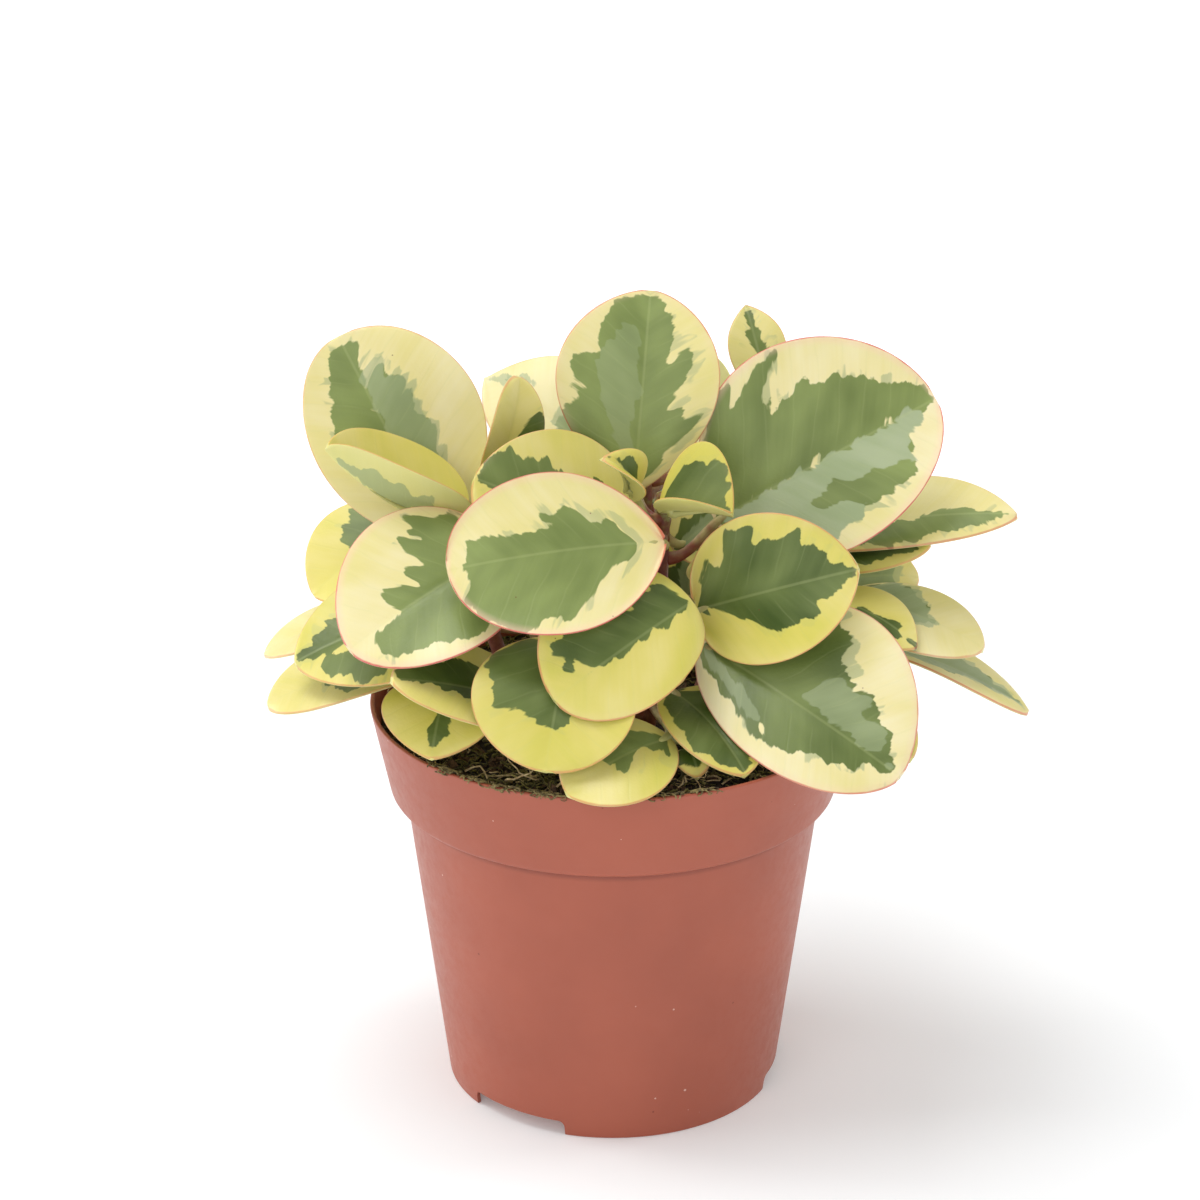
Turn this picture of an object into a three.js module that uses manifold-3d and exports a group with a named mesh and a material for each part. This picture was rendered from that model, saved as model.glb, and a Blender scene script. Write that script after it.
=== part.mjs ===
// A variegated peperomia in a round plastic nursery pot.
// Millimetres, +Z up. The pot stands on z = 0, and -Y is its front.
//
// Pot, soil and plant are laid out around the pot's own axis. The whole is then moved
// sideways, so that the origin lies under the middle of the plant's spread.

import * as THREE from 'three';
import { mergeVertices } from 'three/addons/utils/BufferGeometryUtils.js';
import Module from 'manifold-3d';

const wasm = await Module();
wasm.setup();

// ---------------------------------------------------------------- driving dimensions

const POT_AXIS = { x: -8, y: -3 };

const POT = {
  height: 101,
  rimRadius: 60,
  collarFootRadius: 55.2,
  collarHeight: 22.8,
  shoulderRadius: 51.6,
  footRadius: 41.5,
  wall: 1.2,
  lipRound: 0.7,
  floorRise: 4.2,
  sides: 48,
};

const NOTCH = {
  count: 3,
  width: 27,
  height: 4,
  corner: 1.5,
  depth: 8,
  inset: 6,
  firstAzimuth: -125.5,
};

const DRAIN = {
  count: 6,
  radius: 3.4,
  ringRadius: 24,
  sides: 12,
};

const SOIL = {
  level: 95,
  frontRise: 3,
  mound: 1.2,
  swells: [8, 13, 4.4],                 // length of each wave over the mounds
  rings: 5,
  sides: POT.sides,
};

const GAP = 0.3;                        // between two pieces that touch

const STEM = {
  depth: 16,
  upright: 5,
  bow: 0.12,
  topRadius: 1.7,
  sides: 8,
  steps: 9,
};

const BLADE = {
  midThickness: 1.7,
  edgeThickness: 0.9,
  columns: 4,
  rows: 8,
  smallRows: 7,
  smallWidth: 31,
  endTrim: 0.004,
};

const STALK = {
  radius: 1.3,
  sides: 5,
  steps: 4,
  reach: 3,
  curl: 0.4,
  seatStep: 0.005,
};

// Stems: where each one stands in the soil, where its top ends and its radius at the
// foot.
const STEMS = {
  centre: { foot: [10, 0], top: [12, -2, 156], radius: 2.6 },
  left: { foot: [-8, 2], top: [-24, -2, 150], radius: 2.5 },
  lowLeft: { foot: [-20, -8], top: [-30, -12, 126], radius: 2.2 },
  right: { foot: [22, 6], top: [36, 4, 134], radius: 2.4 },
  front: { foot: [8, -16], top: [12, -18, 130], radius: 2.3 },
  back: { foot: [6, 16], top: [8, 20, 152], radius: 2.5 },
  backLeft: { foot: [-12, 18], top: [-18, 24, 128], radius: 2.2 },
  backRight: { foot: [24, 20], top: [30, 24, 126], radius: 2.2 },
};

// Leaves. base and tip are the two ends of the midrib. face is the way the upper side
// looks. fold lifts the left and the right half of the blade about the midrib, in
// degrees, as seen from the stalk. arch is how far the midrib bows. skew makes the left
// half the wider one, or the right half if it is negative. widest is where along the
// midrib the blade is broadest. blunt is the roundness of its base and of its tip: the
// smaller, the rounder. stem and node say where the leaf's stalk starts.
const LEAF_FORM = {
  fold: [8, 8],
  arch: 3,
  skew: 0,
  widest: 0.54,
  blunt: [0.55, 0.6],
};

const LEAVES = [
  { stem: 'left', node: 124, base: [-39, 4, 137], tip: [-66.5, 14, 190], width: 43,
    face: [-0.1, -0.85, 0.5], arch: 2, skew: -0.12, widest: 0.58, blunt: [0.8, 0.48] },
  { stem: 'left', node: 141, base: [-35.5, -8.5, 151], tip: [-68, -14.5, 172], width: 33,
    face: [0, -0.1, 1], fold: [52, 42], arch: -4, widest: 0.46 },
  { stem: 'back', node: 140, base: [2, 16, 154], tip: [-32, 34, 172], width: 30,
    face: [-0.2, -0.6, 0.8], fold: [5, 5], skew: -0.12, blunt: [0.55, 0.85] },
  { stem: 'left', node: 148, base: [-31, 5, 155.5], tip: [-23, 9, 181.5], width: 17,
    face: [0.5, -0.6, 0.2], fold: [20, 20], blunt: [0.55, 0.5] },
  { stem: 'centre', node: 148, base: [5, 2, 154], tip: [9, 16, 201], width: 40,
    face: [0, -0.95, 0.25], arch: 2, skew: 0.07, widest: 0.57, blunt: [0.7, 0.6] },
  { stem: 'back', node: 150, base: [39, 34, 166], tip: [33, 44, 188], width: 15,
    face: [0, -0.9, 0.4], fold: [15, 15], blunt: [0.55, 0.9] },
  { stem: 'centre', node: 138, base: [25, 1, 147], tip: [78, 7, 176.5], width: 53,
    face: [0.1, -0.85, 0.5], fold: [10, 10], skew: 0.14, widest: 0.48, blunt: [0.55, 0.52] },
  { stem: 'centre', node: 149, base: [4, -9, 156.5], tip: [-3, -15, 169], width: 14,
    face: [0.55, -0.4, 0.7], fold: [42, 42] },
  { stem: 'centre', node: 153, base: [11, -11, 154.5], tip: [28.5, -17, 155.5], width: 33,
    face: [0, -0.35, 0.95], fold: [44, 49], arch: 1, blunt: [0.45, 0.5] },
  { stem: 'centre', node: 130, base: [7, -8, 140], tip: [-33.5, -12.5, 163], width: 42,
    face: [-0.1, -0.65, 0.75] },
  { stem: 'centre', node: 144, base: [10, -24, 151], tip: [-39, -38, 149.5], width: 40,
    face: [-0.1, -0.8, 0.6], fold: [4, 4], arch: 4, skew: 0.05, blunt: [0.65, 0.46] },
  { stem: 'left', node: 136, base: [-25, -20, 148], tip: [-62, -42, 131], width: 41,
    face: [-0.35, -0.8, 0.5], fold: [6, 6], skew: -0.09, widest: 0.47, blunt: [0.5, 0.56] },
  { stem: 'left', node: 132, base: [-44.5, 18, 142], tip: [-73.5, 5, 125.5], width: 31,
    face: [-0.4, -0.55, 0.72] },
  { stem: 'left', node: 120, base: [-50, 5, 121], tip: [-86, 3, 110.5], width: 24,
    face: [-0.1, -0.05, 1], fold: [6, 6] },
  { stem: 'lowLeft', node: 124, base: [-38, -13, 129.8], tip: [-76, -26.5, 120.8], width: 37,
    face: [-0.2, -0.45, 0.88], fold: [8, 14], skew: 0.2, widest: 0.42 },
  { stem: 'lowLeft', node: 112, base: [-46, -15, 116], tip: [-83, -26, 109.5], width: 28,
    face: [-0.1, -0.1, 1], fold: [4, 4] },
  { stem: 'front', node: 103, base: [-16, -27, 107.5], tip: [-52, -48, 126], width: 26,
    face: [0, -0.5, 0.87], fold: [10, 10] },
  { stem: 'lowLeft', node: 108, base: [-39, -24, 116], tip: [-43, -44, 104], width: 28,
    face: [-0.05, -0.5, 0.85], fold: [8, 8], blunt: [0.55, 0.72] },
  { stem: 'front', node: 121, base: [-10, -32.7, 130.5], tip: [-16, -58.7, 107.5], width: 39,
    face: [-0.05, -0.85, 0.5], fold: [5, 5], arch: 4, skew: -0.04, blunt: [0.5, 0.5] },
  { stem: 'front', node: 128, base: [17, -29.8, 137.2], tip: [-14, -51.8, 122.6], width: 34.5,
    face: [0, -0.85, 0.5], fold: [4, 4], arch: 4, skew: -0.13, blunt: [0.34, 0.5] },
  { stem: 'front', node: 108, base: [12, -43.5, 108], tip: [-11, -60, 102.3], width: 27,
    face: [0, -0.5, 0.87], fold: [6, 6] },
  { stem: 'front', node: 113, base: [14, -23.7, 112], tip: [31, -49.2, 102], width: 26,
    face: [0.35, -0.6, 0.7], fold: [15, 15] },
  { stem: 'centre', node: 122, base: [22, -16.3, 131.3], tip: [58, -28.3, 146.3], width: 36,
    face: [0.1, -0.88, 0.45], fold: [6, 6], arch: 4, skew: 0.04, widest: 0.48, blunt: [0.46, 0.6] },
  { stem: 'front', node: 117, base: [22, -20, 123], tip: [67.5, -50, 102], width: 45,
    face: [0.1, -0.82, 0.56], skew: 0.21 },
  { stem: 'right', node: 105, base: [36, -5, 110], tip: [71, -36, 100], width: 28,
    face: [0.1, -0.35, 0.95], fold: [6, 6] },
  { stem: 'right', node: 126, base: [41, 8, 138], tip: [98, -1, 149], width: 24,
    face: [0.1, -0.3, 0.95], fold: [8, -8], skew: 0.25, blunt: [0.55, 0.75] },
  { stem: 'right', node: 130, base: [46, 3, 136], tip: [77, -3, 142.5], width: 16,
    face: [0.1, -0.3, 0.95], fold: [0, 0], arch: 0 },
  { stem: 'right', node: 118, base: [55, 5, 125], tip: [90, -10, 117.5], width: 25,
    face: [0.1, -0.32, 0.94], fold: [5, 5], skew: -0.12 },
  { stem: 'right', node: 122, base: [50, -7.4, 130], tip: [73, -18.4, 121.5], width: 19,
    face: [0.25, -0.4, 0.87], fold: [5, 5], blunt: [0.55, 0.8] },
  { stem: 'right', node: 108, base: [58, 0, 116], tip: [102, -6, 99], width: 24,
    face: [0.15, 0.02, 0.99], fold: [10, 10] },
  { stem: 'centre', node: 128, base: [27, -5, 131], tip: [27, -9, 145], width: 14,
    face: [-0.6, -0.7, 0.3], fold: [42, 42] },
  { stem: 'front', node: 124, base: [12, -26, 129], tip: [7, -34, 117], width: 14,
    face: [0.6, -0.6, 0.5], fold: [20, 20] },
  { stem: 'front', node: 100, base: [17, -40, 104], tip: [20, -49, 101.5], width: 10,
    face: [0.1, -0.6, 0.8] },
  { stem: 'backLeft', node: 124, base: [-26, 32, 132], tip: [-40, 66, 128], width: 36,
    face: [-0.2, 0.4, 0.9] },
  { stem: 'back', node: 132, base: [12, 32, 138], tip: [16, 72, 130], width: 38,
    face: [0.1, 0.45, 0.9] },
  { stem: 'backRight', node: 122, base: [38, 30, 130], tip: [66, 52, 120], width: 36,
    face: [0.4, 0.35, 0.85] },
  { stem: 'backLeft', node: 116, base: [-34, 22, 118], tip: [-72, 36, 107], width: 36,
    face: [-0.4, 0.3, 0.85] },
  { stem: 'backRight', node: 114, base: [44, 20, 118], tip: [82, 28, 108], width: 32,
    face: [0.35, 0.2, 0.9] },
  { stem: 'back', node: 110, base: [4, 32, 114], tip: [-4, 70, 106], width: 34,
    face: [0, 0.45, 0.9] },
  { stem: 'backRight', node: 106, base: [30, 34, 112], tip: [44, 66, 104], width: 32,
    face: [0.3, 0.45, 0.85] },
  { stem: 'backLeft', node: 106, base: [-24, 30, 110], tip: [-52, 56, 104], width: 30,
    face: [-0.3, 0.4, 0.85] },
  { stem: 'back', node: 146, base: [14, 30, 152], tip: [12, 50, 178], width: 34,
    face: [0, 0.8, 0.6] },
  { stem: 'back', node: 142, base: [32, 38, 140], tip: [57, 60, 144], width: 30,
    face: [0.3, 0.5, 0.8] },
  { stem: 'back', node: 136, base: [-8, 30, 140], tip: [-36, 48, 147], width: 34,
    face: [-0.3, 0.4, 0.85] },
  { stem: 'backLeft', node: 128, base: [-30, 22, 138], tip: [-56, 34, 158], width: 32,
    face: [-0.5, 0.5, 0.7] },
  { stem: 'backRight', node: 114, base: [18, 31, 108], tip: [22, 42, 130], width: 24,
    face: [0.05, -0.5, 0.85] },
  { stem: 'back', node: 117, base: [-7, 29, 120], tip: [-16, 60, 123], width: 26,
    face: [-0.1, 0.4, 0.9] },
  { stem: 'right', node: 112, base: [46, 15, 123.5], tip: [76, 16, 126], width: 20,
    face: [0, -0.65, 0.75] },
  { stem: 'back', node: 138, base: [15.5, 16, 133], tip: [35, 24, 143.5], width: 31,
    face: [-0.1, -0.7, 0.7] },
];

// ---------------------------------------------------------------- materials

function matte(colour, roughness) {
  return new THREE.MeshStandardMaterial({ color: colour, roughness, metalness: 0 });
}

const POT_COLOUR = 0xb4624e;
const SOIL_COLOUR = 0x2d2119;
const STEM_COLOUR = 0x7d4334;
const LEAF_COLOUR = 0xb9c07a;

// ---------------------------------------------------------------- solids

function mergedGeometry(geometry) {
  const bare = geometry.clone();
  bare.deleteAttribute('normal');
  bare.deleteAttribute('uv');
  return mergeVertices(bare, 1e-3);
}

function keptTriangles(index) {
  const kept = [];
  for (let i = 0; i < index.length; i += 3) {
    const [a, b, c] = [index[i], index[i + 1], index[i + 2]];
    if (a !== b && b !== c && c !== a) kept.push(a, b, c);
  }
  return new Uint32Array(kept);
}

function solidOf(geometry) {
  const merged = mergedGeometry(geometry);
  return new wasm.Manifold(new wasm.Mesh({
    numProp: 3,
    vertProperties: new Float32Array(merged.attributes.position.array),
    triVerts: keptTriangles(merged.index.array),
  }));
}

function geometryOf(solid) {
  const mesh = solid.getMesh();
  const geometry = new THREE.BufferGeometry();
  geometry.setAttribute('position', new THREE.BufferAttribute(mesh.vertProperties, 3));
  geometry.setIndex(new THREE.BufferAttribute(mesh.triVerts, 1));
  geometry.computeVertexNormals();
  return geometry;
}

function indexedGeometry(points, triangles) {
  const geometry = new THREE.BufferGeometry();
  const flat = points.flatMap((point) => point.toArray());
  geometry.setAttribute('position', new THREE.Float32BufferAttribute(flat, 3));
  geometry.setIndex(triangles);
  return geometry;
}

// A lathe turns about Y, so it is stood up on Z.
function turned(profile, sides) {
  const points = profile.map(([r, z]) => new THREE.Vector2(r, z));
  return new THREE.LatheGeometry(points, sides).rotateX(Math.PI / 2);
}

function roundBar(radius, height, sides) {
  return new THREE.CylinderGeometry(radius, radius, height, sides).rotateX(Math.PI / 2);
}

// A tube whose radius changes along its curve, closed by a flat cap at each end.
function taperedTube(curve, steps, sides, radiusAt) {
  const frames = curve.computeFrenetFrames(steps, false);
  const points = [];
  for (let i = 0; i <= steps; i++) {
    const centre = curve.getPointAt(i / steps);
    for (let j = 0; j < sides; j++) {
      const turn = (2 * Math.PI * j) / sides;
      points.push(centre.clone()
        .addScaledVector(frames.normals[i], radiusAt(i / steps) * Math.cos(turn))
        .addScaledVector(frames.binormals[i], radiusAt(i / steps) * Math.sin(turn)));
    }
  }
  const foot = points.push(curve.getPointAt(0)) - 1;
  const top = points.push(curve.getPointAt(1)) - 1;
  const triangles = [];
  for (let j = 0; j < sides; j++) {
    const next = (j + 1) % sides;
    for (let i = 0; i < steps; i++) {
      const [a, b] = [i * sides + j, i * sides + next];
      triangles.push(a, b, a + sides, b, b + sides, a + sides);
    }
    triangles.push(foot, next, j, top, steps * sides + j, steps * sides + next);
  }
  return indexedGeometry(points, triangles);
}

// ---------------------------------------------------------------- pot

const COLLAR_FOOT = POT.height - POT.collarHeight;
const LEDGE = 1;                        // the small round under the collar's edge

function outerRadius(z) {
  if (z < COLLAR_FOOT) {
    return THREE.MathUtils.lerp(POT.footRadius, POT.shoulderRadius, z / COLLAR_FOOT);
  }
  const up = (z - COLLAR_FOOT) / POT.collarHeight;
  return THREE.MathUtils.lerp(POT.collarFootRadius, POT.rimRadius, up);
}

function potProfile() {
  const { height, wall, lipRound, floorRise } = POT;
  const inside = COLLAR_FOOT + wall;
  const floorTop = floorRise + wall;
  return [
    [0, floorRise],
    [outerRadius(floorRise) - wall, floorRise],
    [POT.footRadius - wall, 0],
    [POT.footRadius, 0],
    [POT.shoulderRadius, COLLAR_FOOT],
    [POT.collarFootRadius - LEDGE, COLLAR_FOOT],
    [POT.collarFootRadius, COLLAR_FOOT + LEDGE],
    [outerRadius(height - lipRound), height - lipRound],
    [POT.rimRadius - lipRound, height],
    [POT.rimRadius - lipRound - wall, height],
    [POT.collarFootRadius - wall, inside + LEDGE],
    [POT.shoulderRadius - wall, inside],
    [outerRadius(floorTop) - wall, floorTop],
    [0, floorTop],
  ];
}

// The notch's outline, seen from the side: open below, with round upper corners.
function notchCutter(azimuth) {
  const { width, height, corner, depth, inset } = NOTCH;
  const outline = new THREE.Shape();
  outline.moveTo(-width / 2, -height);
  outline.lineTo(width / 2, -height);
  outline.lineTo(width / 2, height - corner);
  outline.absarc(width / 2 - corner, height - corner, corner, 0, Math.PI / 2);
  outline.absarc(corner - width / 2, height - corner, corner, Math.PI / 2, Math.PI);
  const cutter = new THREE.ExtrudeGeometry(outline, {
    depth,
    bevelEnabled: false,
    curveSegments: 3,
  });
  cutter.rotateX(Math.PI / 2);
  cutter.rotateZ(Math.PI / 2);
  cutter.translate(POT.footRadius - inset, 0, 0);
  cutter.rotateZ(THREE.MathUtils.degToRad(azimuth));
  return cutter;
}

function potGeometry() {
  let pot = solidOf(turned(potProfile(), POT.sides));
  for (let i = 0; i < NOTCH.count; i++) {
    pot = pot.subtract(solidOf(notchCutter(NOTCH.firstAzimuth + (360 * i) / NOTCH.count)));
  }
  for (let i = 0; i < DRAIN.count; i++) {
    const turn = (2 * Math.PI * i) / DRAIN.count;
    const hole = roundBar(DRAIN.radius, 4 * POT.floorRise, DRAIN.sides);
    hole.translate(DRAIN.ringRadius * Math.cos(turn), DRAIN.ringRadius * Math.sin(turn), 0);
    pot = pot.subtract(solidOf(hole));
  }
  return geometryOf(pot);
}

// ---------------------------------------------------------------- soil

// Low mounds, and a rise towards the front of the pot.
function soilHeight(x, y) {
  const [middling, wide, small] = SOIL.swells;
  const waves = Math.sin(x / middling + y / wide) + Math.cos(y / middling - x / wide)
    + Math.sin((x - y) / small) / 2;
  const front = THREE.MathUtils.smoothstep(-y, 0, POT.rimRadius);
  return SOIL.level + SOIL.mound * waves / 2 + SOIL.frontRise * front;
}

function soilGeometry(stems) {
  const bottom = POT.floorRise + POT.wall + GAP;
  const ledge = COLLAR_FOOT + POT.wall + 2 * GAP;
  const clear = POT.wall + GAP;
  const edge = outerRadius(SOIL.level - 2 * SOIL.mound) - clear - POT.lipRound;
  const profile = [
    [0, bottom],
    [outerRadius(bottom) - clear, bottom],
    [POT.shoulderRadius - clear, ledge],
    [POT.collarFootRadius - clear - LEDGE, ledge + LEDGE],
  ];
  for (let ring = 0; ring <= SOIL.rings; ring++) {
    profile.push([edge * (1 - ring / SOIL.rings), SOIL.level]);
  }
  const geometry = turned(profile, SOIL.sides);
  const position = geometry.attributes.position;
  for (let i = 0; i < position.count; i++) {
    if (position.getZ(i) > ledge + 2 * LEDGE) {
      position.setZ(i, soilHeight(position.getX(i), position.getY(i)));
    }
  }
  let soil = solidOf(geometry);
  for (const stem of stems) {
    const hole = roundBar(stem.radius + GAP, 2 * STEM.depth, 2 * STEM.sides);
    hole.translate(stem.foot[0], stem.foot[1], SOIL.level);
    soil = soil.subtract(solidOf(hole));
  }
  return geometryOf(soil);
}

// ---------------------------------------------------------------- stems

function stemCurve(stem) {
  const [x, y] = stem.foot;
  const top = new THREE.Vector3(...stem.top);
  const upright = new THREE.Vector3(x, y, SOIL.level + STEM.upright);
  return new THREE.CatmullRomCurve3([
    new THREE.Vector3(x, y, SOIL.level - STEM.depth + GAP),
    new THREE.Vector3(x, y, SOIL.level),
    upright,
    upright.clone().lerp(top, 0.5).lerp(new THREE.Vector3(top.x, top.y, upright.z), STEM.bow),
    top,
  ]);
}

function stemRadius(stem, along) {
  return THREE.MathUtils.lerp(stem.radius, STEM.topRadius, along);
}

function stemGeometry(stem) {
  return taperedTube(stemCurve(stem), STEM.steps, STEM.sides, (u) => stemRadius(stem, u));
}

// ---------------------------------------------------------------- leaves

function leafFrame(leaf) {
  const base = new THREE.Vector3(...leaf.base);
  const along = new THREE.Vector3(...leaf.tip).sub(base);
  const length = along.length();
  along.normalize();
  const up = new THREE.Vector3(...leaf.face);
  up.addScaledVector(along, -up.dot(along)).normalize();
  const left = new THREE.Vector3().crossVectors(up, along);
  return { base, along, left, up, length };
}

function halfWidth(leaf, s, t) {
  const swell = s ** (Math.log(0.5) / Math.log(leaf.widest));
  const roundness = THREE.MathUtils.lerp(leaf.blunt[0], leaf.blunt[1], s);
  return (leaf.width / 2) * (4 * swell * (1 - swell)) ** roundness
    * (1 + leaf.skew * Math.sign(t));
}

// A point on the middle of the blade: s runs from its base to its tip, t from its right
// edge at -1 to its left edge at 1.
function bladePoint(leaf, frame, s, t) {
  const reach = t * halfWidth(leaf, s, t);
  const fold = THREE.MathUtils.degToRad(t > 0 ? leaf.fold[0] : leaf.fold[1]);
  const rise = Math.abs(reach) * Math.sin(fold) + leaf.arch * 4 * s * (1 - s);
  return frame.base.clone()
    .addScaledVector(frame.along, s * frame.length)
    .addScaledVector(frame.left, reach * Math.cos(fold))
    .addScaledVector(frame.up, rise);
}

// Both faces of the blade carry the same grid, cut into triangles along the same
// diagonals, and a strip around the edge joins them.
function bladeGeometry(leaf, frame) {
  const rows = leaf.width < BLADE.smallWidth ? BLADE.smallRows : BLADE.rows;
  const columns = BLADE.columns;
  const across = columns + 1;
  const faceSize = (rows + 1) * across;
  const points = [];
  for (const side of [1, -1]) {
    for (let i = 0; i <= rows; i++) {
      const even = (1 - Math.cos((Math.PI * i) / rows)) / 2;
      const s = THREE.MathUtils.lerp(BLADE.endTrim, 1 - BLADE.endTrim, even);
      for (let j = 0; j <= columns; j++) {
        const t = (2 * j) / columns - 1;
        const thick = THREE.MathUtils.lerp(BLADE.midThickness, BLADE.edgeThickness, Math.abs(t));
        points.push(bladePoint(leaf, frame, s, t)
          .addScaledVector(frame.up, (side * thick) / 2));
      }
    }
  }
  const triangles = [];
  for (let i = 0; i < rows; i++) {
    for (let j = 0; j < columns; j++) {
      const [a, b] = [i * across + j, i * across + j + 1];
      const [c, d] = [a + across, b + across];
      triangles.push(a, c, b, b, c, d);
      triangles.push(a + faceSize, b + faceSize, c + faceSize);
      triangles.push(b + faceSize, d + faceSize, c + faceSize);
    }
  }
  const rim = [];
  for (let j = 0; j < columns; j++) rim.push(j);
  for (let i = 0; i < rows; i++) rim.push(i * across + columns);
  for (let j = columns; j > 0; j--) rim.push(rows * across + j);
  for (let i = rows; i > 0; i--) rim.push(i * across);
  rim.forEach((here, k) => {
    const next = rim[(k + 1) % rim.length];
    triangles.push(here, next, here + faceSize, next, next + faceSize, here + faceSize);
  });
  return indexedGeometry(points, triangles);
}

// The stalk leaves its stem square to it, and runs into the blade along the midrib.
function stalkCurve(leaf, frame) {
  const stem = STEMS[leaf.stem];
  const curve = stemCurve(stem);
  let along = 0;
  while (along < 1 && curve.getPointAt(along).z < leaf.node) along += STALK.seatStep;
  along = Math.min(along, 1);
  const seat = curve.getPointAt(along);
  const tangent = curve.getTangentAt(along);
  const outward = frame.base.clone().sub(seat);
  outward.addScaledVector(tangent, -outward.dot(tangent)).normalize();
  const start = seat.addScaledVector(outward, stemRadius(stem, along) + GAP);
  const curl = STALK.curl * start.distanceTo(frame.base);
  const end = bladePoint(leaf, frame, STALK.reach / frame.length, 0);
  return new THREE.CubicBezierCurve3(
    start,
    start.clone().addScaledVector(outward, curl),
    end.clone().addScaledVector(frame.along, -curl),
    end,
  );
}

function leafGeometry(leaf) {
  const frame = leafFrame(leaf);
  const blade = solidOf(bladeGeometry(leaf, frame));
  const stalk = taperedTube(stalkCurve(leaf, frame), STALK.steps, STALK.sides,
    () => STALK.radius);
  return geometryOf(blade.add(solidOf(stalk)));
}

// ---------------------------------------------------------------- assembly

function piece(name, geometry, material) {
  const mesh = new THREE.Mesh(geometry, material);
  mesh.name = name;
  return mesh;
}

const group = new THREE.Group();
group.add(piece('pot', potGeometry(), matte(POT_COLOUR, 0.45)));
group.add(piece('potting_soil', soilGeometry(Object.values(STEMS)), matte(SOIL_COLOUR, 1)));
Object.values(STEMS).forEach((stem, i) => {
  group.add(piece(`stem_${i + 1}`, stemGeometry(stem), matte(STEM_COLOUR, 0.5)));
});
LEAVES.forEach((leaf, i) => {
  const name = `leaf_${String(i + 1).padStart(2, '0')}`;
  group.add(piece(name, leafGeometry({ ...LEAF_FORM, ...leaf }), matte(LEAF_COLOUR, 0.4)));
});
group.position.set(POT_AXIS.x, POT_AXIS.y, 0);

export default group;
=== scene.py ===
"""The looks of a variegated peperomia in a round plastic nursery pot.

The tables of sizes, stems and leaves say the same as the solids in the frame do. They are in
millimetres, around the pot's axis, and every mesh is written in metres, in the frame.
"""
import math
import random
from dataclasses import dataclass, field, replace

import bmesh
import bpy
import numpy as np
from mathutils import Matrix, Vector, noise


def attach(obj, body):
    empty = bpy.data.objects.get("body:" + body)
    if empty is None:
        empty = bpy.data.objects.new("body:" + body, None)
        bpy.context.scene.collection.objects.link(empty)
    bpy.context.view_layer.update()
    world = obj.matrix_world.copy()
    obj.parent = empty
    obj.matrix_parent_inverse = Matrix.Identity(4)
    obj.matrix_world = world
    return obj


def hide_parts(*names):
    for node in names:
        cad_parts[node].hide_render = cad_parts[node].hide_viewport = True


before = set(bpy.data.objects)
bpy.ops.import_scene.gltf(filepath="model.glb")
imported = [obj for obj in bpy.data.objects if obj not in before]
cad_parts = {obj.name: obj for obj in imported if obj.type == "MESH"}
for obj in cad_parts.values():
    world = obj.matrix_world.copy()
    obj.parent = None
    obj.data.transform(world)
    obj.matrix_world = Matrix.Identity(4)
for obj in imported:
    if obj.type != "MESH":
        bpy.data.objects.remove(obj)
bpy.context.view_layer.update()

MM = 0.001
BODY = "root"

# ---------------------------------------------------------------- sizes, in millimetres

POT_AXIS = np.array([-8.0, -3.0, 0.0])

POT_HEIGHT = 101
RIM_RADIUS = 60
COLLAR_FOOT_RADIUS = 55.2
COLLAR_FOOT = POT_HEIGHT - 22.8
SHOULDER_RADIUS = 51.6
FOOT_RADIUS = 41.5
WALL = 1.2
FLOOR_RISE = 4.2
FLOOR_TOP = FLOOR_RISE + WALL
SHELF = COLLAR_FOOT + WALL              # the step inside, over the shoulder
POT_SIDES = 240

NOTCH = dict(count=3, width=27, height=4, corner=1.5, depth=8, inset=6, first_azimuth=-125.5)
DRAIN = dict(count=6, radius=3.4, ring_radius=24, sides=32)

SOIL_LEVEL = 95
SOIL_FRONT_RISE = 3
SOIL_MOUND = 1.2
SOIL_SWELLS = (8, 13, 4.4)
SOIL_RINGS = 90
SOIL_SPOKES = 300
LITTER_REACH = 55.5
FIBRE_REACH = 56.3
FIBRE_STEPS = 7
RIM_MOSS = ((-131, 4), (-118, 5), (-105, 4), (-72, 6))    # middle and spread, in degrees

GAP = 0.3                               # between a stem and what it carries

STEM_DEPTH = 16
STEM_UPRIGHT = 5
STEM_BOW = 0.12
STEM_TOP_RADIUS = 1.7
NODE_SWELLING = dict(height=0.28, reach=1.6)
NODE_RING = dict(below=1.2, reach=0.45)

STALK_RADIUS = 1.3
STALK_REACH = 3
STALK_CURL = 0.4
STALK_SECTIONS = 60
STALK_SIDES = 12
STALK_FLARE = (1.35, 1.3, 1.2, 1.08)    # its radius at the stem, in stalk radii
RIDGE_STEPS = 16                        # the ridge that a stalk makes under its blade
RIDGE_END = 0.62
RIDGE_LIFT = (-1.5, -0.7)

MID_THICKNESS = 1.7
EDGE_THICKNESS = 0.7
WAVE = 0.45                             # how far a blade waves up and down
GROOVE_DEPTH = 0.16                     # of the groove over the midrib
GROOVE_WIDTH = 0.8
VEIN_SLANT = 0.75                       # how the side veins lean towards the tip
VEIN_BEND = 0.006
RIB_SPACING = 3.4
LOBES = 6.5                             # how far a patch's edge wanders, and how far its
TEETH = 2.3                             # teeth reach along the veins


@dataclass
class Stem:
    foot: tuple
    top: tuple
    radius: float


@dataclass
class Leaf:
    """A leaf's stem and the height it grows at there, and the form of its blade.

    base and tip are the blade's ends, and face is the way that its upper side looks. fold is
    how far its left and right half rise, in degrees, and arch how far its middle does. skew
    makes the left half wider, widest is where along the blade it is at its widest, and blunt
    is how pointed it is at its base and at its tip, from 0 for square.
    """
    stem: str
    node: float
    base: tuple
    tip: tuple
    width: float
    face: tuple
    fold: tuple = (8, 8)
    arch: float = 3
    skew: float = 0
    widest: float = 0.54
    blunt: tuple = (0.55, 0.6)


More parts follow.
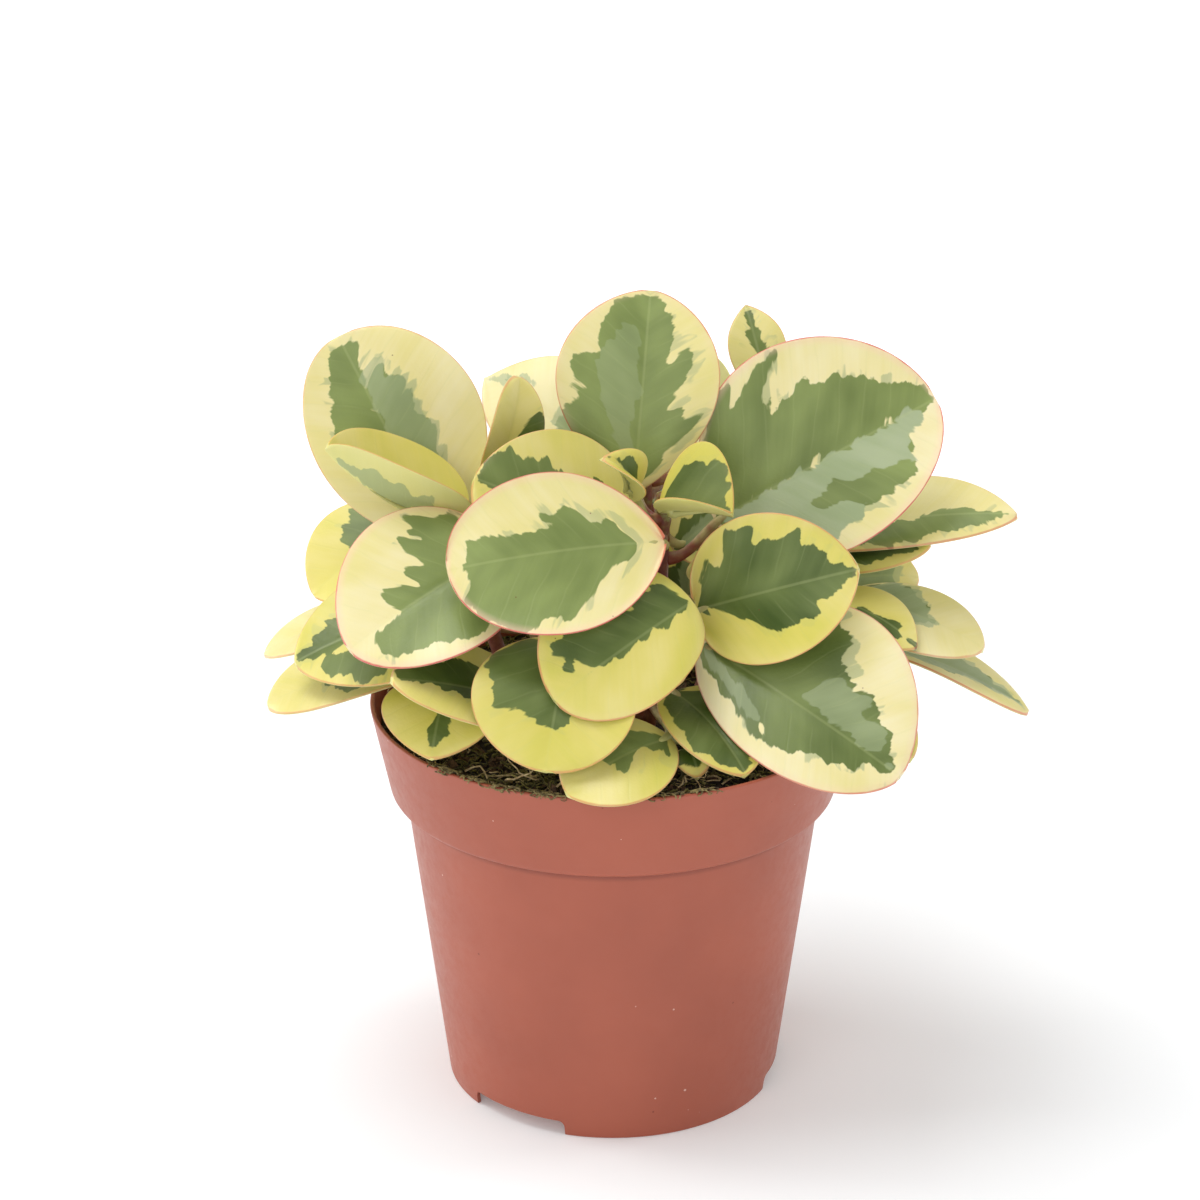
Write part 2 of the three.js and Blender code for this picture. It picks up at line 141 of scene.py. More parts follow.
@dataclass
class Marks:
    """A leaf's colours, and the small bends of its rim.

    yellow goes from cream at 0 to bright yellow at 1, dark from sage to deep green, and blush
    is how red the rim is. deep is the outlines of the green patches, pale those of the grey
    green ones on top of them, as strong as grey says, and over those of green that lies on
    the grey again. curl is how far the rim rises, and lip how far the blade reaches back
    beyond its stalk.
    """
    yellow: float = 0.5
    blush: float = 0.45
    dark: float = 0.5
    grey: float = 0.6
    curl: float = -0.2
    lip: float = 0.4
    deep: list = field(default_factory=list)
    pale: list = field(default_factory=list)
    over: list = field(default_factory=list)


def patch(*corners):
    """An outline, from the s and t of each corner in turn, in hundredths.

    s runs along the midrib from the base at 0 to the tip at 100, and t across the blade from
    its right edge at -100 to its left edge at 100, as seen from the stalk.
    """
    return np.reshape(corners, (-1, 2)) / 100


STEMS = {
    "centre": Stem(foot=(10, 0), top=(12, -2, 156), radius=2.6),
    "left": Stem(foot=(-8, 2), top=(-24, -2, 150), radius=2.5),
    "lowLeft": Stem(foot=(-20, -8), top=(-30, -12, 126), radius=2.2),
    "right": Stem(foot=(22, 6), top=(36, 4, 134), radius=2.4),
    "front": Stem(foot=(8, -16), top=(12, -18, 130), radius=2.3),
    "back": Stem(foot=(6, 16), top=(8, 20, 152), radius=2.5),
    "backLeft": Stem(foot=(-12, 18), top=(-18, 24, 128), radius=2.2),
    "backRight": Stem(foot=(24, 20), top=(30, 24, 126), radius=2.2),
}

LEAVES = [
    Leaf("left", 124, (-39, 4, 137), (-66.5, 14, 190), 43, (-0.1, -0.85, 0.5),
         arch=2, skew=-0.12, widest=0.58, blunt=(0.8, 0.48)),
    Leaf("left", 141, (-35.5, -8.5, 151), (-68, -14.5, 172), 33, (0, -0.1, 1),
         fold=(52, 42), arch=-4, widest=0.46),
    Leaf("back", 140, (2, 16, 154), (-32, 34, 172), 30, (-0.2, -0.6, 0.8),
         fold=(5, 5), skew=-0.12, blunt=(0.55, 0.85)),
    Leaf("left", 148, (-31, 5, 155.5), (-23, 9, 181.5), 17, (0.5, -0.6, 0.2),
         fold=(20, 20), blunt=(0.55, 0.5)),
    Leaf("centre", 148, (5, 2, 154), (9, 16, 201), 40, (0, -0.95, 0.25),
         arch=2, skew=0.07, widest=0.57, blunt=(0.7, 0.6)),
    Leaf("back", 150, (39, 34, 166), (33, 44, 188), 15, (0, -0.9, 0.4),
         fold=(15, 15), blunt=(0.55, 0.9)),
    Leaf("centre", 138, (25, 1, 147), (78, 7, 176.5), 53, (0.1, -0.85, 0.5),
         fold=(10, 10), skew=0.14, widest=0.48, blunt=(0.55, 0.52)),
    Leaf("centre", 149, (4, -9, 156.5), (-3, -15, 169), 14, (0.55, -0.4, 0.7), fold=(42, 42)),
    Leaf("centre", 153, (11, -11, 154.5), (28.5, -17, 155.5), 33, (0, -0.35, 0.95),
         fold=(44, 49), arch=1, blunt=(0.45, 0.5)),
    Leaf("centre", 130, (7, -8, 140), (-33.5, -12.5, 163), 42, (-0.1, -0.65, 0.75)),
    Leaf("centre", 144, (10, -24, 151), (-39, -38, 149.5), 40, (-0.1, -0.8, 0.6),
         fold=(4, 4), arch=4, skew=0.05, blunt=(0.65, 0.46)),
    Leaf("left", 136, (-25, -20, 148), (-62, -42, 131), 41, (-0.35, -0.8, 0.5),
         fold=(6, 6), skew=-0.09, widest=0.47, blunt=(0.5, 0.56)),
    Leaf("left", 132, (-44.5, 18, 142), (-73.5, 5, 125.5), 31, (-0.4, -0.55, 0.72)),
    Leaf("left", 120, (-50, 5, 121), (-86, 3, 110.5), 24, (-0.1, -0.05, 1), fold=(6, 6)),
    Leaf("lowLeft", 124, (-38, -13, 129.8), (-76, -26.5, 120.8), 37, (-0.2, -0.45, 0.88),
         fold=(8, 14), skew=0.2, widest=0.42),
    Leaf("lowLeft", 112, (-46, -15, 116), (-83, -26, 109.5), 28, (-0.1, -0.1, 1), fold=(4, 4)),
    Leaf("front", 103, (-16, -27, 107.5), (-52, -48, 126), 26, (0, -0.5, 0.87), fold=(10, 10)),
    Leaf("lowLeft", 108, (-39, -24, 116), (-43, -44, 104), 28, (-0.05, -0.5, 0.85),
         blunt=(0.55, 0.72)),
    Leaf("front", 121, (-10, -32.7, 130.5), (-16, -58.7, 107.5), 39, (-0.05, -0.85, 0.5),
         fold=(5, 5), arch=4, skew=-0.04, blunt=(0.5, 0.5)),
    Leaf("front", 128, (17, -29.8, 137.2), (-14, -51.8, 122.6), 34.5, (0, -0.85, 0.5),
         fold=(4, 4), arch=4, skew=-0.13, blunt=(0.34, 0.5)),
    Leaf("front", 108, (12, -43.5, 108), (-11, -60, 102.3), 27, (0, -0.5, 0.87), fold=(6, 6)),
    Leaf("front", 113, (14, -23.7, 112), (31, -49.2, 102), 26, (0.35, -0.6, 0.7), fold=(15, 15)),
    Leaf("centre", 122, (22, -16.3, 131.3), (58, -28.3, 146.3), 36, (0.1, -0.88, 0.45),
         fold=(6, 6), arch=4, skew=0.04, widest=0.48, blunt=(0.46, 0.6)),
    Leaf("front", 117, (22, -20, 123), (67.5, -50, 102), 45, (0.1, -0.82, 0.56), skew=0.21),
    Leaf("right", 105, (36, -5, 110), (71, -36, 100), 28, (0.1, -0.35, 0.95), fold=(6, 6)),
    Leaf("right", 126, (41, 8, 138), (98, -1, 149), 24, (0.1, -0.3, 0.95),
         fold=(8, -8), skew=0.25, blunt=(0.55, 0.75)),
    Leaf("right", 130, (46, 3, 136), (77, -3, 142.5), 16, (0.1, -0.3, 0.95), fold=(0, 0), arch=0),
    Leaf("right", 118, (55, 5, 125), (90, -10, 117.5), 25, (0.1, -0.32, 0.94),
         fold=(5, 5), skew=-0.12),
    Leaf("right", 122, (50, -7.4, 130), (73, -18.4, 121.5), 19, (0.25, -0.4, 0.87),
         fold=(5, 5), blunt=(0.55, 0.8)),
    Leaf("right", 108, (58, 0, 116), (102, -6, 99), 24, (0.15, 0.02, 0.99), fold=(10, 10)),
    Leaf("centre", 128, (27, -5, 131), (27, -9, 145), 14, (-0.6, -0.7, 0.3), fold=(42, 42)),
    Leaf("front", 124, (12, -26, 129), (7, -34, 117), 14, (0.6, -0.6, 0.5), fold=(20, 20)),
    Leaf("front", 100, (17, -40, 104), (20, -49, 101.5), 10, (0.1, -0.6, 0.8)),
    Leaf("backLeft", 124, (-26, 32, 132), (-40, 66, 128), 36, (-0.2, 0.4, 0.9)),
    Leaf("back", 132, (12, 32, 138), (16, 72, 130), 38, (0.1, 0.45, 0.9)),
    Leaf("backRight", 122, (38, 30, 130), (66, 52, 120), 36, (0.4, 0.35, 0.85)),
    Leaf("backLeft", 116, (-34, 22, 118), (-72, 36, 107), 36, (-0.4, 0.3, 0.85)),
    Leaf("backRight", 114, (44, 20, 118), (82, 28, 108), 32, (0.35, 0.2, 0.9)),
    Leaf("back", 110, (4, 32, 114), (-4, 70, 106), 34, (0, 0.45, 0.9)),
    Leaf("backRight", 106, (30, 34, 112), (44, 66, 104), 32, (0.3, 0.45, 0.85)),
    Leaf("backLeft", 106, (-24, 30, 110), (-52, 56, 104), 30, (-0.3, 0.4, 0.85)),
    Leaf("back", 146, (14, 30, 152), (12, 50, 178), 34, (0, 0.8, 0.6)),
    Leaf("back", 142, (32, 38, 140), (57, 60, 144), 30, (0.3, 0.5, 0.8)),
    Leaf("back", 136, (-8, 30, 140), (-36, 48, 147), 34, (-0.3, 0.4, 0.85)),
    Leaf("backLeft", 128, (-30, 22, 138), (-56, 34, 158), 32, (-0.5, 0.5, 0.7)),
    Leaf("backRight", 114, (18, 31, 108), (22, 42, 130), 24, (0.05, -0.5, 0.85)),
    Leaf("back", 117, (-7, 29, 120), (-16, 60, 123), 26, (-0.1, 0.4, 0.9)),
    Leaf("right", 112, (46, 15, 123.5), (76, 16, 126), 20, (0, -0.65, 0.75)),
    Leaf("back", 138, (15.5, 16, 133), (35, 24, 143.5), 31, (-0.1, -0.7, 0.7)),
]

# A leaf that isn't listed gets marks of its own.
MARKINGS = {
    1: Marks(
        yellow=0.2, dark=0.15,
        deep=[patch(99,-10, 93,-15, 86,-3, 70,0, 50,0, 30,-10, 5,-10, 5,30, 35,45, 60,62, 72,55,
            78,55, 83,62, 87,50, 93,40, 98,30)],
        pale=[patch(80,-2, 85,-28, 83,-38, 78,-30, 75,-50, 69,-47, 66,-36, 63,-42, 60,-38, 52,-50,
            30,-40, 5,-20, 5,0, 50,0)]),
    2: Marks(
        yellow=0.9, dark=0.3,
        deep=[patch(93,10, 80,30, 70,55, 62,50, 50,60, 42,45, 32,60, 20,40, 12,0, 50,2)]),
    3: Marks(
        yellow=0.15, grey=0.7,
        pale=[patch(97,0, 90,-45, 80,-50, 74,-35, 85,-10),
              patch(50,-35, 35,-50, 10,-40, 5,30, 35,40, 50,10)]),
    4: Marks(
        yellow=0.7, dark=0.8,
        deep=[patch(78,-82, 70,-97, 55,-97, 50,-30, 60,-35, 66,-50)]),
    5: Marks(
        yellow=0.35, blush=0.7, dark=0.2, grey=0.35,
        deep=[patch(97,45, 93,65, 89,85, 82,72, 76.5,65, 72,55, 65,52, 65,60, 66.5,72, 67,83, 62,90,
            57,82, 53,78, 49,74, 45,76, 46,90, 43,100, 33,100, 20,90, 3,40, 3,-40, 16,-60, 30,-75,
            38,-85, 43,-88, 41,-70, 39,-55, 47,-63, 50,-60, 44,-42, 50,-44, 62,-58, 71,-70, 77,-72,
            76,-60, 71,-43, 67,-36, 77,-42, 85,-50, 97,-50)],
        pale=[patch(86,30, 80,42, 70,50, 60,52, 50,50, 30,40, 20,30, 20,10, 40,12, 50,5, 60,10,
            75,5, 84,10)]),
    6: Marks(
        grey=0.5,
        deep=[patch(97,0, 85,-30, 60,-35, 35,-25, 30,5, 50,15, 75,20, 90,15)]),
    7: Marks(
        yellow=0.12, blush=1, dark=0.25, grey=1, curl=0.8,
        deep=[patch(98,10, 93,50, 89,52, 81,44, 82,55, 75,62, 69,61, 58,58, 59,68, 50,56, 42,55,
            45,67, 41,64, 43,76, 48,84, 52,93, 46,95, 34,78, 28,80, 33,95, 26,97, 17,90, 5,90, 3,0,
            30,2, 60,2, 80,2)],
        pale=[patch(97,0, 90,-22, 84,-33, 80,-50, 80,-62, 72,-68, 55,-68, 50,-75, 38,-82, 30,-90,
            10,-90, 3,0, 50,0)],
        over=[patch(50,-27, 70,-45, 79,-55, 80,-62, 72,-68, 60,-68, 49,-55, 38,-40)]),
    8: Marks(
        yellow=0.85, dark=0.65,
        deep=[patch(98,-30, 97,-70, 90,-65, 88,-40, 84,-55, 79,-30, 73,-55, 68,-50, 66,-25, 58,-40,
            50,-38, 45,-20, 10,0, 50,0)]),
    9: Marks(
        yellow=0.95,
        deep=[patch(5,0, 7,12, 12,35, 16,58, 24,65, 31,80, 33,68, 42,57, 47,60, 50,50, 55,60, 64,57,
            67,68, 72,78, 78,82, 84,80, 80,60, 84,50, 79,38, 83,25, 90,12, 93,0)]),
    10: Marks(
        yellow=0.8, dark=0.6,
        deep=[patch(99,-30, 93,-75, 89,-85, 85,-65, 74,-53, 70,-60, 66,-52, 55,-38, 60,-10, 80,10,
            97,10),
              patch(43,-42, 42,-60, 38,-66, 33,-62, 30,-50, 33,-38)]),
    11: Marks(
        yellow=0.3, blush=1, dark=0.22, curl=1.3, lip=2.2,
        deep=[patch(14,0, 22,-25, 22,-40, 28,-40, 34,-38, 37,-45, 44,-58, 47,-52, 47,-43, 54,-52,
            57,-52, 56,-40, 50,-33, 63,-27, 75,-40, 83,-45, 88,-45, 88,-30, 93,-5, 92,20, 93,50,
            95,80, 90,100, 78,100, 68,97, 61,87, 53,78, 47,70, 40,66, 34,55, 22,30, 14,20)]),
    12: Marks(
        yellow=0.25, blush=1, dark=0.3,
        deep=[patch(14,-97, 20,-88, 28,-85, 35,-90, 33,-78, 38,-68, 33,-60, 37,-55, 45,-67, 48,-64,
            48,-52, 43,-28, 53,-35, 55,-32, 54,-20, 66,-32, 72,-29, 72,-17, 68,0, 75,5, 86,0, 90,27,
            90,55, 85,70, 63,72, 50,78, 40,83, 20,80, 3,50, 3,-50)]),
    13: Marks(
        yellow=0.85, dark=0.6,
        deep=[patch(44,-85, 40,-78, 35,-75, 33,-60, 36,-30, 45,-5, 55,10, 65,20, 60,-10, 60,-35,
            58,-50, 56,-65, 50,-60)]),
    14: Marks(yellow=0.3),
    15: Marks(
        yellow=0.75,
        deep=[patch(97,0, 85,-35, 75,-50, 65,-50, 62,-20, 60,10, 75,15, 90,10),
              patch(90,50, 82,30, 70,30, 55,45, 50,70, 60,90, 75,95, 80,75)]),
    16: Marks(
        yellow=0.6,
        deep=[patch(62,20, 55,10, 45,15, 40,40, 45,75, 55,80, 62,55)]),
    17: Marks(
        yellow=0.8, dark=0.9,
        deep=[patch(2,-60, 10,-100, 90,-100, 97,-20, 90,10, 80,5, 70,25, 50,40, 35,60, 20,70,
            5,50)]),
    18: Marks(
        yellow=0.9, dark=0.8,
        deep=[patch(30,-5, 38,10, 45,30, 50,38, 55,30, 65,25, 80,12, 86,2, 80,-6, 60,-8, 45,-10)]),
    19: Marks(
        yellow=0.9, blush=0.5, dark=0.6,
        deep=[patch(4,-60, 10,-85, 20,-88, 30,-93, 38,-90, 43,-82, 50,-80, 56,-84, 62,-80, 66,-68,
            68,-55, 66,-45, 70,-36, 72,-20, 70,-5, 73,5, 67,20, 50,35, 30,50, 10,50)]),
    20: Marks(
        yellow=0.85, blush=0.6, dark=0.65, curl=-0.5, lip=2.2,
        deep=[patch(2,-10, 6,-40, 11,-55, 18,-52, 26,-50, 30,-46, 33,-52, 35,-38, 42,-45, 50,-48,
            62,-52, 70,-57, 76,-66, 83,-72, 87,-62, 84,-42, 87,-30, 83,-20, 79,-25, 76,-10, 75,6,
            70,0, 63,6, 53,8, 40,4, 30,12, 10,10)]),
    21: Marks(
        yellow=0.8, blush=0.5, dark=0.45, lip=2.2,
        deep=[patch(2,0, 3,50, 10,95, 19,85, 22,50, 20,22, 27,12, 33,10, 40,18, 43,28, 56,27, 60,20,
            56,5, 60,-5, 58,-15, 64,-25, 63,-38, 50,-45, 38,-50, 15,-50)]),
    22: Marks(
        yellow=0.95, dark=0.8,
        deep=[patch(2,-50, 15,-75, 27,-80, 40,-75, 53,-72, 68,-76, 78,-72, 84,-72, 95,-50, 98,-10,
            93,30, 88,27, 88,50, 78,46, 70,50, 60,60, 45,70, 30,60, 15,60, 2,40)]),
    23: Marks(
        yellow=0.9, blush=0.6, dark=0.75, curl=1, lip=2.2,
        deep=[patch(2,10, 6,70, 13,65, 18,70, 22,55, 27,60, 30,80, 34.5,90, 38.5,85, 46,85, 48.5,80,
            49,66, 54,67, 57.5,62, 62.5,66, 65,72, 74.5,75, 73.5,64, 71,58, 78.5,57, 84.5,52, 92,45,
            88,40, 92,30, 99,0, 94,-25, 88,-40, 82,-43, 75.5,-48, 73,-55, 60,-58, 53,-60, 42,-42,
            28,-28, 10,0)]),
    24: Marks(
        yellow=0.1, blush=0.8, dark=0.55, grey=0.5, lip=1.5,
        deep=[patch(3,30, 15,70, 30,85, 43,88, 46,75, 52,76, 54,70, 53,54, 58,53, 56,40, 62,40,
            71,48, 77,40, 73,30, 83,28, 93,10, 97,0, 95,-20, 88,-27, 83,-40, 78,-42, 70,-50, 64,-52,
            60,-60, 59,-70, 55,-72, 46,-55, 43,-57, 47,-68, 46,-72, 33,-55, 20,-55, 10,-60,
            3,-30)],
        pale=[patch(50,10, 52,30, 56,38, 62,38, 73,44, 78,38, 74,30, 82,33, 95,5, 80,2, 65,3),
              patch(5,-10, 15,-50, 30,-48, 40,-58, 42,-50, 30,-35, 20,-20)]),
    25: Marks(
        yellow=0.85,
        deep=[patch(2,-50, 30,-60, 70,-50, 90,-20, 90,20, 60,50, 20,60)]),
    26: Marks(
        yellow=0.45, blush=0.6, dark=0.25,
        deep=[patch(5,10, 5,-100, 50,-100, 60,-75, 75,-60, 85,-50, 97,-10, 97,5, 85,15, 80,30,
            73,20, 55,-10, 40,-15, 20,0)]),
    27: Marks(
        yellow=0.8, dark=0.7,
        deep=[patch(2,-50, 2,60, 30,90, 70,90, 88,70, 93,20, 85,-10, 90,-40, 70,-45, 50,-60,
            30,-70)]),
    28: Marks(
        yellow=0.35, grey=0.8,
        pale=[patch(5,-90, 5,95, 30,100, 45,85, 50,60, 60,45, 62,20, 70,0, 60,-30, 40,-60)]),
    29: Marks(
        yellow=0.9, dark=0.9,
        deep=[patch(20,-10, 35,10, 50,5, 60,15, 75,0, 97,0, 90,-40, 70,-50, 50,-45, 30,-45)]),
    30: Marks(
        yellow=0.55, blush=0.7, grey=0.7,
        pale=[patch(2,-60, 2,60, 50,60, 95,20, 95,-20, 50,-60)]),
    31: Marks(
        yellow=0.6, dark=0.8,
        deep=[patch(10,20, 30,60, 60,75, 85,50, 90,10, 50,-20, 10,-20)]),
    33: Marks(
        yellow=0.9, dark=1,
        deep=[patch(5,-80, 5,90, 70,60, 85,10, 70,-60)]),
    48: Marks(
        grey=0.7,
        pale=[patch(2,-90, 2,90, 80,90, 85,30, 80,-90)]),
}

# ---------------------------------------------------------------- colours

def srgb(red, green, blue):
    """A colour as the eye reads it, in 0 to 255, as the linear values that nodes take."""
    def linear(value):
        value /= 255
        return value / 12.92 if value <= 0.04045 else ((value + 0.055) / 1.055) ** 2.4
    return (linear(red), linear(green), linear(blue), 1.0)


CREAM = srgb(243, 233, 188)
CREAM_WARM = srgb(240, 227, 168)
YELLOW = srgb(219, 206, 94)
YELLOW_LIME = srgb(212, 204, 94)
GREY_GREEN = srgb(174, 185, 146)
GREY_GREEN_DARK = srgb(158, 172, 128)
SAGE = srgb(146, 161, 94)
DEEP_GREEN = srgb(62, 82, 18)
MIDRIB = srgb(196, 204, 140)
ROSE = srgb(214, 96, 92)
PEACH = srgb(250, 206, 186)
UNDERSIDE = srgb(206, 210, 160)
STALK_GREEN = srgb(192, 190, 122)
STALK_RED = srgb(128, 60, 44)
STEM_RED = srgb(112, 46, 32)
STEM_BROWN = srgb(138, 82, 56)
STEM_GREEN = srgb(150, 156, 84)
TERRACOTTA = srgb(174, 90, 66)
TERRACOTTA_DARK = srgb(162, 82, 60)
DUST = srgb(226, 190, 176)
SOIL = (srgb(30, 22, 16), srgb(74, 54, 38))              # its dark and its light
BARK = (srgb(52, 36, 24), srgb(128, 96, 66))
MOSS = (srgb(36, 32, 16), srgb(138, 128, 66))
DRY_MOSS = (srgb(44, 34, 20), srgb(158, 140, 88))
STRAW = (srgb(140, 112, 72), srgb(222, 198, 150))
PAPER = (0.87, 0.89, 0.9, 1)


# ---------------------------------------------------------------- node helpers

class Surface:
    """One material's node tree, with a Principled shader at its end."""

    def __init__(self, name):
        self.material = bpy.data.materials.new(name)
        self.material.use_nodes = True
        self.nodes = self.material.node_tree.nodes
        self.links = self.material.node_tree.links
        self.nodes.clear()
        output = self.nodes.new("ShaderNodeOutputMaterial")
        self.shader = self.nodes.new("ShaderNodeBsdfPrincipled")
        self.links.new(self.shader.outputs["BSDF"], output.inputs["Surface"])

    def put(self, socket, value):
        if isinstance(value, bpy.types.NodeSocket):
            self.links.new(value, socket)
        else:
            socket.default_value = value

    def node(self, kind, **values):
        """A new node, with its sockets set by their names."""
        node = self.nodes.new("ShaderNode" + kind)
        for name, value in values.items():
            self.put(node.inputs[name.replace("_", " ")], value)
        return node

    def set(self, **values):
        for name, value in values.items():
            self.put(self.shader.inputs[name.replace("_", " ")], value)

    def math(self, operation, *values, clamp=False):
        node = self.nodes.new("ShaderNodeMath")
        node.operation = operation
        node.use_clamp = clamp
        for socket, value in zip(node.inputs, values):
            self.put(socket, value)
        return node.outputs[0]

    def times(self, first, second):
        return self.math("MULTIPLY", first, second)

    def plus(self, first, second, amount=1.0):
        """first with amount times second added to it."""
        return self.math("ADD", first, self.times(second, amount))

    def clamped(self, value):
        return self.math("ADD", value, 0.0, clamp=True)

    def step(self, value, low, high, start=0.0, end=1.0):
        """start below low, end above high, and a smooth step between them."""
        node = self.node("MapRange", Value=value, From_Min=low, From_Max=high,
                         To_Min=start, To_Max=end)
        node.interpolation_type = "SMOOTHSTEP"
        return node.outputs["Result"]

    def mix(self, factor, first, second):
        """Two colours mixed. The node has an A and a B for each type of value."""
        node = self.node("Mix", Factor=factor)
        node.data_type = "RGBA"
        colours = [socket for socket in node.inputs if socket.type == "RGBA"]
        for socket, value in zip(colours, (first, second)):
            self.put(socket, value)
        return next(socket for socket in node.outputs if socket.type == "RGBA")

    def vector(self, x, y, z):
        return self.node("CombineXYZ", X=x, Y=y, Z=z).outputs[0]

    def noise(self, vector, scale=1.0, detail=2.0, roughness=0.5):
        return self.node("TexNoise", Vector=vector, Scale=scale, Detail=detail,
                         Roughness=roughness).outputs["Fac"]

    def cells(self, vector, scale):
        """How far a point is from the middle of its cell."""
        return self.node("TexVoronoi", Vector=vector, Scale=scale).outputs["Distance"]

    def parts(self, vector):
        return self.node("SeparateXYZ", Vector=vector).outputs[:]

    def attribute(self, name):
        """The three parts of a vector that the mesh holds at each of its points."""
        node = self.nodes.new("ShaderNodeAttribute")
        node.attribute_name = name
        return self.parts(node.outputs["Vector"])

    def place(self):
        """The point in the frame, in millimetres."""
        coordinates = self.nodes.new("ShaderNodeTexCoord")
        scaled = self.node("VectorMath")
        scaled.operation = "SCALE"
        self.links.new(coordinates.outputs["Object"], scaled.inputs[0])
        scaled.inputs["Scale"].default_value = 1 / MM
        return scaled.outputs[0]

    def length(self, vector):
        node = self.nodes.new("ShaderNodeVectorMath")
        node.operation = "LENGTH"
        self.links.new(vector, node.inputs[0])
        return node.outputs["Value"]

    def bump(self, height, strength, distance):
        return self.node("Bump", Height=height, Strength=strength,
                         Distance=distance).outputs["Normal"]


# ---------------------------------------------------------------- mesh helpers

def add_object(name, data):
    thing = bpy.data.objects.new(name, data)
    bpy.context.scene.collection.objects.link(thing)
    return thing


def mesh_piece(name, points, faces, material, attributes=None):
    """A smooth object from points in millimetres around the pot's axis."""
    mesh = bpy.data.meshes.new(name)
    places = (np.asarray(points, dtype=float) + POT_AXIS) * MM
    mesh.from_pydata(places.tolist(), [], faces)
    mesh.shade_smooth()
    for key, values in (attributes or {}).items():
        layer = mesh.attributes.new(key, "FLOAT_VECTOR", "POINT")
        layer.data.foreach_set("vector", np.asarray(values, dtype=np.float32).ravel())
    mesh.materials.append(material)
    mesh.validate()
    return add_object(name, mesh)


def grid_faces(rows, columns, closed=False, start=0):
    """Quads between rows of points. A closed grid's last column joins its first."""
    faces = []
    spans = columns if closed else columns - 1
    for i in range(rows - 1):
        for j in range(spans):
            a = start + i * columns + j
            b = start + i * columns + (j + 1) % columns
            faces.append((a, b, b + columns, a + columns))
    return faces


def unit(vector):
    return vector / np.linalg.norm(vector)


def smooth_step(value, low, high):
    x = np.clip((value - low) / (high - low), 0, 1)
    return x * x * (3 - 2 * x)


def catmull_rom(points, steps, per_span=50):
    """A centripetal curve through the points, as places evenly spread along it."""
    points = [np.asarray(p, dtype=float) for p in points]
    points = [2 * points[0] - points[1]] + points + [2 * points[-1] - points[-2]]
    samples = []
    for p0, p1, p2, p3 in zip(points, points[1:], points[2:], points[3:]):
        d0, d1, d2 = (math.sqrt(np.linalg.norm(b - a)) for a, b in ((p0, p1), (p1, p2), (p2, p3)))
        start = ((p1 - p0) / d0 - (p2 - p0) / (d0 + d1) + (p2 - p1) / d1) * d1
        end = ((p2 - p1) / d1 - (p3 - p1) / (d1 + d2) + (p3 - p2) / d2) * d1
        for u in np.linspace(0, 1, per_span, endpoint=False):
            samples.append(p1 + start * u + (3 * (p2 - p1) - 2 * start - end) * u ** 2
                           + (2 * (p1 - p2) + start + end) * u ** 3)
    samples.append(points[-2])
    return evenly(np.array(samples), steps)


def evenly(samples, steps):
    """The same curve with its points evenly spread, as steps + 1 places."""
    lengths = np.r_[0, np.cumsum(np.linalg.norm(np.diff(samples, axis=0), axis=1))]
    wanted = np.linspace(0, lengths[-1], steps + 1)
    return np.stack([np.interp(wanted, lengths, samples[:, k]) for k in range(3)], axis=1)


def bezier(p0, p1, p2, p3, steps):
    u = np.linspace(0, 1, steps + 1)[:, None]
    return ((1 - u) ** 3 * p0 + 3 * u * (1 - u) ** 2 * p1
            + 3 * u ** 2 * (1 - u) * p2 + u ** 3 * p3)


def tube(path, radii, sides, start=0):
    """Points and faces of a round tube with closed ends. start is its first point's number."""
    tangents = np.gradient(path, axis=0)
    tangents /= np.linalg.norm(tangents, axis=1)[:, None]
    across = unit(np.cross(tangents[0], (0.31, 0.87, 0.38)))
    turns = np.linspace(0, 2 * math.pi, sides, endpoint=False)
    points = []
    for centre, tangent, radius in zip(path, tangents, radii):
        across = unit(across - tangent * across.dot(tangent))
        beside = np.cross(tangent, across)
        for turn in turns:
            points.append(centre + radius * (math.cos(turn) * across + math.sin(turn) * beside))
    faces = grid_faces(len(path), sides, closed=True, start=start)
    last = start + (len(path) - 1) * sides
    faces.append(tuple(start + j for j in reversed(range(sides))))
    faces.append(tuple(last + j for j in range(sides)))
    return points, faces


def bundle(name, material, strands, sides=5):
    """Thin tubes as one piece, from each one's path and its radius at either end."""
    points, faces = [], []
    for path, thick, thin in strands:
        radii = np.linspace(thick, thin, len(path))
        more_points, more_faces = tube(np.array(path), radii, sides, start=len(points))
        points += more_points
        faces += more_faces
    return mesh_piece(name, points, faces, material)


# ---------------------------------------------------------------- pot

def outer_radius(z):
    if z < COLLAR_FOOT:
        return FOOT_RADIUS + (SHOULDER_RADIUS - FOOT_RADIUS) * z / COLLAR_FOOT
    up = (z - COLLAR_FOOT) / (POT_HEIGHT - COLLAR_FOOT)
    return COLLAR_FOOT_RADIUS + (RIM_RADIUS - COLLAR_FOOT_RADIUS) * up


def inner_radius(z):
    return outer_radius(z) - WALL


def rounded(corners, steps=5):
    """The profile with each corner (r, z, radius) replaced by a small round."""
    profile = []
    for i, (r, z, radius) in enumerate(corners):
        corner = np.array([r, z], dtype=float)
        if radius == 0:
            profile.append(corner)
            continue
        before = unit(np.array(corners[i - 1][:2]) - corner)
        after = unit(np.array(corners[i + 1][:2]) - corner)
        for k in range(steps + 1):
            u = k / steps
            profile.append(corner + radius * ((1 - u) ** 2 * before + u ** 2 * after))
    return profile


def straightened(profile, longest=4.0):
    """The same profile with its long spans cut up, so that its faces stay even."""
    points = []
    for a, b in zip(profile, profile[1:]):
        cuts = max(1, math.ceil(np.linalg.norm(b - a) / longest))
        points += [a + (b - a) * k / cuts for k in range(cuts)]
    return points + [profile[-1]]


